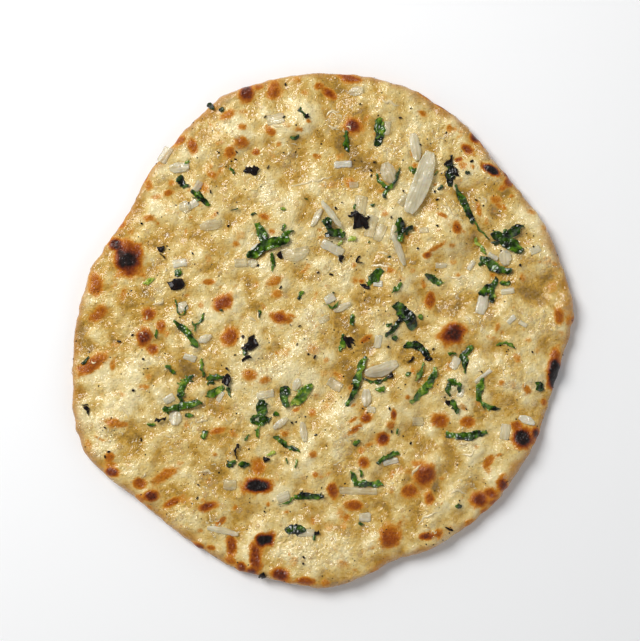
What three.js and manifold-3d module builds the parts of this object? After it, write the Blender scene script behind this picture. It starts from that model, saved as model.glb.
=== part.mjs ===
// Naan bread: a hand-shaped leavened flatbread, blistered by a hot oven wall,
// brushed with ghee and topped with torn coriander leaves and sliced onion.
// Millimetres, +Z up. The origin is under the middle of the bread, on the surface it lies on.

import * as THREE from "three";
import { mergeVertices } from "three/addons/utils/BufferGeometryUtils.js";
import Module from "manifold-3d";

const wasm = await Module();
wasm.setup();

// Sizes of the bread
const breadWidth = 232;
const breadLength = 238;
const crumbThickness = 7;
const rimDepth = 6.5;

// Sizes of the toppings
const leafThickness = 0.7;
const charThickness = 1.1;
const onionThickness = 1.5;
const layingGap = 0.35;
const rimClearance = 3;

// The shape that every ribbon of a topping shares: how wide its ends are, how soon it
// widens from them, how much thinner its sides are, and how much thinner each further
// arm is than the one before it, so that their faces don't coincide.
const endShare = 0.45;
const widening = 0.6;
const sideThinning = 0.3;
const armThinning = 0.08;

// How finely the solids are drawn
const stepsAround = 100;
const ringsOnTop = 20;
const ringsUnder = 4;
const stepsOnRim = 6;
const toppingStep = 2.4;

// The bread's outline, clockwise from its far end. It is drawn by eye on a sheet of
// millimetres, and then fitted to the width and the length above.
const outline = [
  [0, 119], [20, 117.2], [38, 112.5], [50, 106.3], [60, 99.6], [70, 89.8], [80, 77],
  [90, 65], [100, 52.5], [109, 33.5], [113.5, 20], [116, 7], [113, -4], [109, -17.5],
  [104, -33.5], [99.5, -48], [93.5, -59], [86, -71], [76, -82.5], [64, -92], [49.5, -101],
  [33.5, -106], [16, -114.5], [2, -119], [-17, -116.4], [-30, -113.2], [-42.5, -109.5],
  [-55, -101.7], [-69.5, -92], [-80, -82.7], [-98, -69], [-110, -57], [-115.3, -42],
  [-116, -20], [-115, 2], [-111, 17], [-108.5, 27], [-98, 43], [-89.5, 56], [-80, 74],
  [-71.3, 84], [-60, 96.8], [-48.3, 107.2], [-30, 114.3], [-14, 117.8],
];

// Where steam pushed the crust up, or it sank: [x, y, reach, rise], on the same sheet.
const swells = [
  [56, 45, 17, 2.6], [-12, 97, 15, 2.0], [65, 72, 10, 1.5], [5, -106, 24, 2.2],
  [-90, -60, 24, 1.5], [47, -65, 13, 1.8], [58, -79, 15, 2.0], [30, -96, 17, 1.5],
  [-95, -28, 30, 1.2], [-98, 20, 26, 1.0], [94, 5, 25, 1.2], [82, -22, 22, 1.0],
  [-70, -76, 20, 1.2], [-35, 95, 18, 1.0], [28, 100, 20, 1.0], [-20, 52, 18, 0.9],
  [0, -55, 20, 0.8], [-60, 10, 18, 0.7], [28, -5, 18, 0.9], [84, 50, 16, 0.9],
  [-88, 34, 11, 1.6], [60, -2, 10, 1.3], [92, -49, 9, 1.2], [-30, -71, 9, 1.0],
];
const hollows = [
  [-15, 76, 19, -1.6], [-33, 12, 18, -1.4], [6, 3, 16, -1.2], [-63, 47, 13, -1.2],
  [57, 15, 13, -1.4], [-5, -84, 13, -1.2], [44, -43, 15, -1.2], [-22, -10, 14, -1.0],
  [69, 37, 14, -1.4], [-48, -36, 15, -1.0], [10, -22, 18, -0.8], [-50, 68, 14, -0.9],
];

// Each topping is a few ribbons that grow together, and each ribbon is its width and
// then the points of its middle line, on the same sheet.
const onionSlices = [
  [[4.2, [11.8, 109.6], [18.2, 110.4]]],
  [[5, [-71, 74.6], [-62, 75.4]]],
  [[6, [-66.5, 57], [-61, 57]]],
  [[5, [-57, 47.5], [-47, 49.5]]],
  [[4.6, [41, 91], [43.4, 78]]],
  [[8.5, [49, 82], [45, 68], [39, 54]]],
  [[7, [28, 77], [31.5, 68]]],
  [[3, [-5.5, 48], [-1, 56]]],
  [[3, [-1, 59.5], [8, 47.5]]],
  [[3.2, [32, 44], [37.2, 30]]],
  [[6, [-20, 36], [-13, 34.8], [-7, 38]]],
  [[4.2, [-34.8, 31], [-30.4, 31]]],
  [[3.6, [-57.5, -5], [-51.5, -2.2]]],
  [[6, [-68, -37], [-68.4, -43.4]]],
  [[4.2, [-13.4, -27.4], [-11.6, -21.8]]],
  [[3.4, [-23, -45], [-16.6, -40.2]]],
  [[3.4, [-9.8, -42], [-8.6, -51]]],
  [[3.2, [4.6, 8.8], [12.4, 12.6]]],
  [[5.8, [19, -19.4], [26, -18.4], [34, -14.6]]],
  [[4.6, [19.6, -27], [19.6, -35]]],
  [[5.6, [83, 37], [84, 30]]],
  [[3.8, [92, -40.6], [99, -43.6]]],
  [[2.8, [-53.6, -90.4], [-46, -92], [-39.4, -93.8]]],
];
const corianderLeaves = [
  [[3, [-60.6, 64.6], [-57, 61.6], [-52.4, 57]]],
  [[4.4, [25, 97.4], [25.6, 91], [25.2, 85]]],
  [[3.4, [59.2, 80.6], [58, 73], [58.2, 66]]],
  [[3, [60.6, 66.6], [65, 58], [68.6, 49]]],
  [[4.6, [-31, 49], [-27.6, 43], [-26, 39.6]], [5, [-35, 33.4], [-26, 39.6], [-15.6, 42]]],
  [[3.4, [1.2, 52], [2.6, 47.4], [4.6, 44.6]], [3.8, [0.8, 43.6], [5, 44.6], [9.8, 43.6]]],
  [[3.6, [35, 52.4], [35.2, 46.6], [35, 41]], [2.6, [35.2, 46], [41.4, 47]]],
  [[5, [77.4, 45.4], [83, 41.4], [91, 36]], [4.4, [83, 41.4], [90.6, 48.4]]],
  [[4.2, [72, 34], [76, 31.6], [79.4, 28.2], [86.8, 27.6]]],
  [[4, [80, 24.6], [77.4, 20.6], [71, 16.4]], [2.2, [77.4, 20.6], [77.6, 12.8]]],
  [[3.4, [47, 26.4], [50.6, 23.2], [55.6, 22.2]]],
  [[4.2, [27.6, 28.4], [24.2, 25.6], [20.4, 21]]],
  [[6, [32.6, 12], [36.2, 9.4], [40, 5], [41, 0.4]], [2.4, [37, 6.4], [32.6, 1.4], [28.4, -2.4]]],
  [[4, [36.8, -7.4], [42, -6.4], [48.6, -12]]],
  [[3.2, [19.6, -11.4], [16.4, -18.6], [15, -25.4], [10.6, -34]]],
  [[3.6, [51.4, -17], [48, -25], [40, -33.6]]],
  [[3.2, [68.6, -7.6], [65, -10.6], [65.2, -19]]],
  [[3, [73.6, -22], [71, -31], [74, -34], [81, -36.4]]],
  [[4.6, [99, -26.6], [104, -26.2]]],
  [[3.2, [56, -46.6], [60, -48.6], [67, -48], [75.4, -46.8]]],
  [[3.2, [13.6, -65], [14.6, -69.6], [20, -70.2], [27.6, -70.4]]],
  [[3, [-13, -76.4], [-6, -75.8], [0, -76.4]]],
  [[4.4, [-17.4, -92], [-13, -91.4], [-8.4, -91.4]]],
  [[4.4, [-28.6, -31.4], [-28.4, -41.6]], [4.2, [-34, -41.2], [-24.2, -41.8]]],
  [[4.6, [-17.4, -25], [-18, -30.6], [-17, -36]]],
  [[5, [-14, -34.2], [-9.6, -29.6], [-4.6, -24]]],
  [[3.6, [-54, -30.4], [-50, -28.4], [-45.6, -26]]],
  [[2.9, [-59.6, -20], [-64, -24.2], [-66.4, -29.4], [-65.6, -33]]],
  [[3.2, [-74, -36], [-66, -34.8], [-56.6, -33.4]]],
  [[3, [-69, 4.6], [-64, 0.6], [-60.6, -3.6], [-57.4, -7.6]]],
];
const charredLeaves = [
  [[5, [-71.2, 21], [-64.6, 22.2]]],
  [[3.2, [-78.4, -40.4], [-71.6, -40.2]]],
  [[4.6, [-46.6, -22.8], [-42.2, -22.6]]],
  [[4.8, [-36.4, -7.4], [-31, -5.6]]],
  [[3.2, [-36.8, -12.8], [-32.4, -12.6]]],
  [[6, [15.8, 55], [15.4, 48]]],
];

const crustMaterial = new THREE.MeshStandardMaterial({ color: 0xdcc28e, roughness: 0.6, metalness: 0 });
const leafMaterial = new THREE.MeshStandardMaterial({ color: 0x2f6b24, roughness: 0.5, metalness: 0 });
const charMaterial = new THREE.MeshStandardMaterial({ color: 0x17130d, roughness: 0.7, metalness: 0 });
const onionMaterial = new THREE.MeshStandardMaterial({ color: 0xd9d2bc, roughness: 0.4, metalness: 0 });

// The outline on the drawing sheet, and how a point on the sheet goes to its place on the bread.
const drawnEdge = new THREE.CatmullRomCurve3(
  outline.map(([x, y]) => new THREE.Vector3(x, y, 0)),
  true,
);
const drawnBox = new THREE.Box3().setFromPoints(drawnEdge.getSpacedPoints(stepsAround));
const drawnMiddle = drawnBox.getCenter(new THREE.Vector3());
const drawnSize = drawnBox.getSize(new THREE.Vector3());

function onBread(x, y) {
  return new THREE.Vector3(
    ((x - drawnMiddle.x) * breadWidth) / drawnSize.x,
    ((y - drawnMiddle.y) * breadLength) / drawnSize.y,
    0,
  );
}

// The outline's points, counterclockwise, at the bread's own size.
const fittedEdge = drawnEdge
  .getSpacedPoints(stepsAround)
  .slice(1)
  .reverse()
  .map(({ x, y }) => onBread(x, y));

// A smooth mound that is 1 in the middle and 0 from its reach outwards.
function mound(distance, reach) {
  const share = Math.min(distance / reach, 1);
  return (1 - share * share) ** 2;
}

const lifts = [...swells, ...hollows].map(([x, y, reach, rise]) => {
  return { middle: onBread(x, y), reach, rise };
});

// How high the crust stands over the underside.
function crustHeight(x, y) {
  let height = crumbThickness;
  for (const { middle, reach, rise } of lifts) {
    height += rise * mound(Math.hypot(x - middle.x, y - middle.y), reach);
  }
  return height;
}

// Half of the bread's section, from the middle of the underside, round the rim and over
// to the middle of the top: x is a share of the way out, y a share of the way up.
function breadSection() {
  const rimShare = (2 * rimDepth) / Math.min(breadWidth, breadLength);
  const section = [];
  for (let i = 0; i < ringsUnder; i += 1) {
    section.push(new THREE.Vector2(((1 - rimShare) * i) / ringsUnder, 0));
  }
  for (let i = 0; i < stepsOnRim; i += 1) {
    const turn = Math.PI * (i / stepsOnRim - 0.5);
    const out = 1 - rimShare * (1 - Math.cos(turn));
    section.push(new THREE.Vector2(out, (1 + Math.sin(turn)) / 2));
  }
  for (let i = 0; i <= ringsOnTop; i += 1) {
    section.push(new THREE.Vector2((1 - rimShare) * (1 - i / ringsOnTop), 1));
  }
  return section;
}

// The bread is turned about its middle, and each ring is then stretched to the outline.
function makeBread() {
  const geometry = new THREE.LatheGeometry(breadSection(), stepsAround);
  const position = geometry.getAttribute("position");
  const turned = geometry.getAttribute("uv");
  for (let i = 0; i < position.count; i += 1) {
    const out = Math.hypot(position.getX(i), position.getZ(i));
    const up = position.getY(i);
    const step = Math.round(turned.getX(i) * stepsAround) % stepsAround;
    const place = fittedEdge[step].clone().multiplyScalar(out);
    position.setXYZ(i, place.x, place.y, up * crustHeight(place.x, place.y));
  }
  const mesh = new THREE.Mesh(geometry, crustMaterial);
  mesh.name = "naan_bread";
  return mesh;
}

const bread = makeBread();
const plumbLine = new THREE.Raycaster();
const plumbHeight = 4 * crumbThickness;

// How high the finished crust stands at a place.
function groundAt(x, y) {
  plumbLine.set(new THREE.Vector3(x, y, plumbHeight), new THREE.Vector3(0, 0, -1));
  const [hit] = plumbLine.intersectObject(bread);
  return hit ? hit.point.z : 0;
}

// How far the outline is from the middle of the bread, in the direction of a place on it.
function edgeDistance(place) {
  const nearest = fittedEdge.reduce((best, edge) => {
    return edge.angleTo(place) < best.angleTo(place) ? edge : best;
  });
  return nearest.length();
}

// A topping keeps its own size: only the place of its first point moves with the bread.
function armsFrom(start, ribbons) {
  const drawnStart = new THREE.Vector3(...ribbons[0][1], 0);
  return ribbons.map(([width, ...points]) => {
    const placed = points.map(([x, y]) => new THREE.Vector3(x, y, 0).sub(drawnStart).add(start));
    return { width, line: new THREE.CatmullRomCurve3(placed) };
  });
}

// The ground that the arms cover, as chains of discs about a millimetre apart. The end
// discs stand in from the ends by half their radius, so that they just hold the corners.
function coveredDiscs(arms) {
  return arms.flatMap(({ width, line }) => {
    const steps = Math.ceil(line.getLength());
    const inset = halfWidthAt(width, 0) / 2 / line.getLength();
    return Array.from({ length: steps + 1 }, (_, i) => {
      const along = inset + (1 - 2 * inset) * (i / steps);
      return { point: line.getPointAt(along), radius: halfWidthAt(width, along) };
    });
  });
}

// A topping that would come too near the edge is moved in towards the middle of the bread.
function placedArms(ribbons) {
  const start = onBread(...ribbons[0][1]);
  const overhangs = coveredDiscs(armsFrom(start, ribbons)).map(({ point, radius }) => {
    return point.length() + radius + rimClearance - edgeDistance(point);
  });
  start.setLength(start.length() - Math.max(0, ...overhangs));
  return armsFrom(start, ribbons);
}

// How wide a ribbon is along its length: full in the middle, and blunt at the ends.
function halfWidthAt(width, along) {
  return (width / 2) * (endShare + (1 - endShare) * Math.sin(Math.PI * along) ** widening);
}

// A ribbon is a thin slab bent along its middle line, a little thicker in the middle.
function ribbonGeometry({ width, line }, thickness, lift) {
  const steps = Math.max(2, Math.round(line.getLength() / toppingStep));
  const geometry = new THREE.BoxGeometry(1, 2, 1, steps, 2, 1);
  const position = geometry.getAttribute("position");
  for (let i = 0; i < position.count; i += 1) {
    const along = position.getX(i) + 0.5;
    const side = position.getY(i);
    const up = position.getZ(i) + 0.5;
    const point = line.getPointAt(along);
    const ahead = line.getTangentAt(along);
    const reach = side * halfWidthAt(width, along);
    const x = point.x - ahead.y * reach;
    const y = point.y + ahead.x * reach;
    const thick = thickness * (1 - sideThinning * Math.abs(side));
    position.setXYZ(i, x, y, groundAt(x, y) + lift + up * thick);
  }
  return geometry;
}

// A topping lies on the crust, or on the toppings laid before it where it meets them.
function liftOver(discs, laid) {
  let lift = layingGap;
  for (const other of laid) {
    const meets = discs.some((a) =>
      other.discs.some((b) => a.point.distanceTo(b.point) < a.radius + b.radius + layingGap),
    );
    if (meets) {
      lift = Math.max(lift, other.top + layingGap);
    }
  }
  return lift;
}

function solidOf(geometry) {
  geometry.deleteAttribute("normal");
  geometry.deleteAttribute("uv");
  const merged = mergeVertices(geometry, 1e-4);
  return new wasm.Manifold(
    new wasm.Mesh({
      numProp: 3,
      vertProperties: merged.getAttribute("position").array,
      triVerts: new Uint32Array(merged.getIndex().array),
    }),
  );
}

// Joins the ribbons of one topping into one solid.
function joined(geometries) {
  if (geometries.length === 1) {
    return geometries[0];
  }
  const { vertProperties, triVerts } = geometries
    .map(solidOf)
    .reduce((whole, arm) => whole.add(arm))
    .getMesh();
  return new THREE.BufferGeometry()
    .setAttribute("position", new THREE.BufferAttribute(vertProperties, 3))
    .setIndex(new THREE.BufferAttribute(triVerts, 1));
}

// One topping, laid at its place on the bread.
function layTopping(name, ribbons, thickness, material, laid) {
  const arms = placedArms(ribbons);
  const discs = coveredDiscs(arms);
  const lift = liftOver(discs, laid);
  const geometries = arms.map((arm, i) => ribbonGeometry(arm, thickness * (1 - armThinning * i), lift));
  const mesh = new THREE.Mesh(joined(geometries), material);
  mesh.name = name;
  laid.push({ discs, top: lift + thickness });
  return mesh;
}

const naan = new THREE.Group();
naan.add(bread);

const laid = [];
const kinds = [
  ["onion_slice", onionSlices, onionThickness, onionMaterial],
  ["coriander_leaf", corianderLeaves, leafThickness, leafMaterial],
  ["charred_leaf", charredLeaves, charThickness, charMaterial],
];
for (const [kind, pieces, thickness, material] of kinds) {
  pieces.forEach((ribbons, i) => {
    const name = kind + "_" + String(i + 1).padStart(2, "0");
    naan.add(layTopping(name, ribbons, thickness, material, laid));
  });
}

export default naan;
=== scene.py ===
import math

import bmesh
import bpy
import numpy as np
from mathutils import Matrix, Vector
from mathutils.bvhtree import BVHTree


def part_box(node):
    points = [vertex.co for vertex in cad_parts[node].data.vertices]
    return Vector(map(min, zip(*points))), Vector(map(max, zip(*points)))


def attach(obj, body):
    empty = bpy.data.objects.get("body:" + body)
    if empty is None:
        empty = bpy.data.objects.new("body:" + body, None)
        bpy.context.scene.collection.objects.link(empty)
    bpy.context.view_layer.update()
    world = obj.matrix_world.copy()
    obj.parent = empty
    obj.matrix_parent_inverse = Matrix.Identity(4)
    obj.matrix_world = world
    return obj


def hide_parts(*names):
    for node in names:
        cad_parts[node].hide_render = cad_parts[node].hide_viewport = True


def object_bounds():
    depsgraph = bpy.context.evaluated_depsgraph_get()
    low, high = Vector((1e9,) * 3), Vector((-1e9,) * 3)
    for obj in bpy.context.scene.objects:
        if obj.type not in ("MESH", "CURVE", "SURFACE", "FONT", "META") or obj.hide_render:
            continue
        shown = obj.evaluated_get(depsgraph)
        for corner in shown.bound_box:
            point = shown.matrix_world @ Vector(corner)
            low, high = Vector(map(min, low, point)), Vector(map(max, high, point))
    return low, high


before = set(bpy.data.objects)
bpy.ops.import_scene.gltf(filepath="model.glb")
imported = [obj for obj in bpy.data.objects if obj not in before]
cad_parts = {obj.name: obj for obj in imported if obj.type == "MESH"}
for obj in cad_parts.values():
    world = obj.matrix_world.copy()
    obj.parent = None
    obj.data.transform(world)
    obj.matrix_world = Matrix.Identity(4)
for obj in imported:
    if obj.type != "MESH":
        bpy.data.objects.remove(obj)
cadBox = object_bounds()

# Naan bread with toasted blisters, ghee, coriander and onion.
# Work on the crust is in millimetres; meshes are turned to metres as they are made.

mm = 0.001
breadLow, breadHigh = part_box("naan_bread")
halfWidth = (breadHigh.x - breadLow.x) / 2 / mm
halfLength = (breadHigh.y - breadLow.y) / 2 / mm
middle = (breadLow + breadHigh) / 2

# Places on the bread are drawn on a sheet of this size, and stretched from it to the CAD bread.
sheet = {"width": 232, "length": 238}


def onBread(x, y):
    return (middle.x / mm + x * halfWidth * 2 / sheet["width"],
            middle.y / mm + y * halfLength * 2 / sheet["length"])


def fromBread(x, y):
    return ((x - middle.x / mm) * sheet["width"] / (halfWidth * 2),
            (y - middle.y / mm) * sheet["length"] / (halfLength * 2))


def linearColour(hexText):
    channels = [int(hexText[i:i + 2], 16) / 255 for i in (1, 3, 5)]
    return [c / 12.92 if c <= 0.04045 else ((c + 0.055) / 1.055) ** 2.4 for c in channels] + [1.0]


def addNode(tree, kind, inputs=None, **settings):
    node = tree.nodes.new(kind)
    for name, value in settings.items():
        setattr(node, name, value)
    for socket, value in (inputs or {}).items():
        if isinstance(value, bpy.types.NodeSocket):
            tree.links.new(value, node.inputs[socket])
        else:
            node.inputs[socket].default_value = value
    return node


def newMaterial(name):
    material = bpy.data.materials.new(name)
    material.use_nodes = True
    material.node_tree.nodes.clear()
    return material, material.node_tree


def finishMaterial(tree, surface):
    addNode(tree, "ShaderNodeOutputMaterial", {"Surface": surface.outputs[0]})


def setRamp(node, stops, ease="LINEAR"):
    ramp = node.color_ramp
    ramp.interpolation = ease
    while len(ramp.elements) > 1:
        ramp.elements.remove(ramp.elements[-1])
    ramp.elements[0].position, ramp.elements[0].color = stops[0][0], linearColour(stops[0][1])
    for position, colour in stops[1:]:
        ramp.elements.new(position).color = linearColour(colour)


def newObject(name, mesh):
    piece = bpy.data.objects.new(name, mesh)
    bpy.context.scene.collection.objects.link(piece)
    return piece


def meshFrom(name, vertices, faces):
    mesh = bpy.data.meshes.new(name)
    mesh.from_pydata(np.asarray(vertices, float) * mm, [], faces)
    mesh.validate()
    mesh.shade_smooth()
    return mesh


# The work grid: height and colour of the crust are worked out on it, then read at each vertex.
grid = {"step": 0.5, "margin": 4.0}
gridX = np.arange(breadLow.x / mm - grid["margin"], breadHigh.x / mm + grid["margin"], grid["step"])
gridY = np.arange(breadLow.y / mm - grid["margin"], breadHigh.y / mm + grid["margin"], grid["step"])
fieldX, fieldY = np.meshgrid(gridX, gridY)
waveX = np.fft.rfftfreq(len(gridX), grid["step"])
waveY = np.fft.fftfreq(len(gridY), grid["step"])
waveSquared = waveX[None, :] ** 2 + waveY[:, None] ** 2


def blurred(field, size):
    kept = np.exp(-2 * math.pi ** 2 * size ** 2 * waveSquared)
    return np.fft.irfft2(np.fft.rfft2(field) * kept, s=field.shape)


def softNoise(dice, size):
    field = blurred(dice.standard_normal(fieldX.shape), size)
    return field / field.std()


def readGrid(field, x, y):
    column = np.clip((np.asarray(x, float) - gridX[0]) / grid["step"], 0, len(gridX) - 1.001)
    row = np.clip((np.asarray(y, float) - gridY[0]) / grid["step"], 0, len(gridY) - 1.001)
    c, r = column.astype(int), row.astype(int)
    fc, fr = column - c, row - r
    return (field[r, c] * (1 - fc) * (1 - fr) + field[r, c + 1] * fc * (1 - fr)
            + field[r + 1, c] * (1 - fc) * fr + field[r + 1, c + 1] * fc * fr)


def ease(low, high, value):
    t = np.clip((value - low) / (high - low), 0, 1)
    return t * t * (3 - 2 * t)


# How far the rim is from the middle in each direction, felt on the CAD bread.
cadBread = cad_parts["naan_bread"]
cadTree = BVHTree.FromPolygons([v.co / mm for v in cadBread.data.vertices],
                               [list(p.vertices) for p in cadBread.data.polygons])
rimSamples = 1440
rimAngles = np.arange(rimSamples) * 2 * math.pi / rimSamples
rimHeights = (2.8, 3.2, 3.5, 3.8, 4.2)  # the rim stands out furthest about here
farOut = 2 * max(halfWidth, halfLength)


def rimDistance(angle):
    outward = Vector((math.cos(angle), math.sin(angle), 0))
    reached = []
    for height in rimHeights:
        start = Vector((middle.x / mm, middle.y / mm, height)) + outward * farOut
        hit = cadTree.ray_cast(start, -outward)[0]
        reached.append(farOut - (hit - start).length)
    return max(reached)


rimReach = np.array([rimDistance(a) for a in rimAngles])


def rimAt(angle):
    return np.interp(np.mod(angle, 2 * math.pi), rimAngles, rimReach, period=2 * math.pi)


# The rim is rounded over these depths, below and above, and its edge wavers.
rim = {"depth": 6.5, "topDepth": 3.4, "ripple": 0.42, "seed": 11}
rimDice = np.random.default_rng(rim["seed"])
for waves in range(20, 150):
    swing = rim["ripple"] * rimDice.normal() / waves ** 0.5 / 2.2
    rimReach += swing * np.sin(waves * rimAngles + rimDice.uniform(0, 2 * math.pi))

angleOf = np.arctan2(fieldY - middle.y / mm, fieldX - middle.x / mm)
outOf = np.hypot(fieldX - middle.x / mm, fieldY - middle.y / mm)
inset = rimAt(angleOf) - outOf  # how far in from the edge

# The CAD crust's own swells and hollows, without its rounding at the rim.
coarse = 2.0
coarseX = np.arange(gridX[0], gridX[-1] + coarse, coarse)
coarseY = np.arange(gridY[0], gridY[-1] + coarse, coarse)
coarseTop = np.zeros((len(coarseY), len(coarseX)))
for row, y in enumerate(coarseY):
    for column, x in enumerate(coarseX):
        angle = math.atan2(y - middle.y / mm, x - middle.x / mm)
        out = math.hypot(x - middle.x / mm, y - middle.y / mm)
        pulled = min(1.0, (float(rimAt(angle)) - rim["depth"] - 1.0) / max(out, 0.01))
        place = Vector((middle.x / mm + (x - middle.x / mm) * pulled,
                        middle.y / mm + (y - middle.y / mm) * pulled, 100))
        coarseTop[row, column] = cadTree.ray_cast(place, Vector((0, 0, -1)))[0].z
fineColumns = np.interp(gridX, coarseX, np.arange(len(coarseX)))
fineRows = np.interp(gridY, coarseY, np.arange(len(coarseY)))
c0 = np.minimum(fineColumns.astype(int), len(coarseX) - 2)
r0 = np.minimum(fineRows.astype(int), len(coarseY) - 2)
fc, fr = (fineColumns - c0)[None, :], (fineRows - r0)[:, None]
cadTop = (coarseTop[r0][:, c0] * (1 - fc) * (1 - fr) + coarseTop[r0][:, c0 + 1] * fc * (1 - fr)
          + coarseTop[r0 + 1][:, c0] * (1 - fc) * fr + coarseTop[r0 + 1][:, c0 + 1] * fc * fr)
cadTop = blurred(cadTop, 2.5)
print("crust: CAD surface read")

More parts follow.
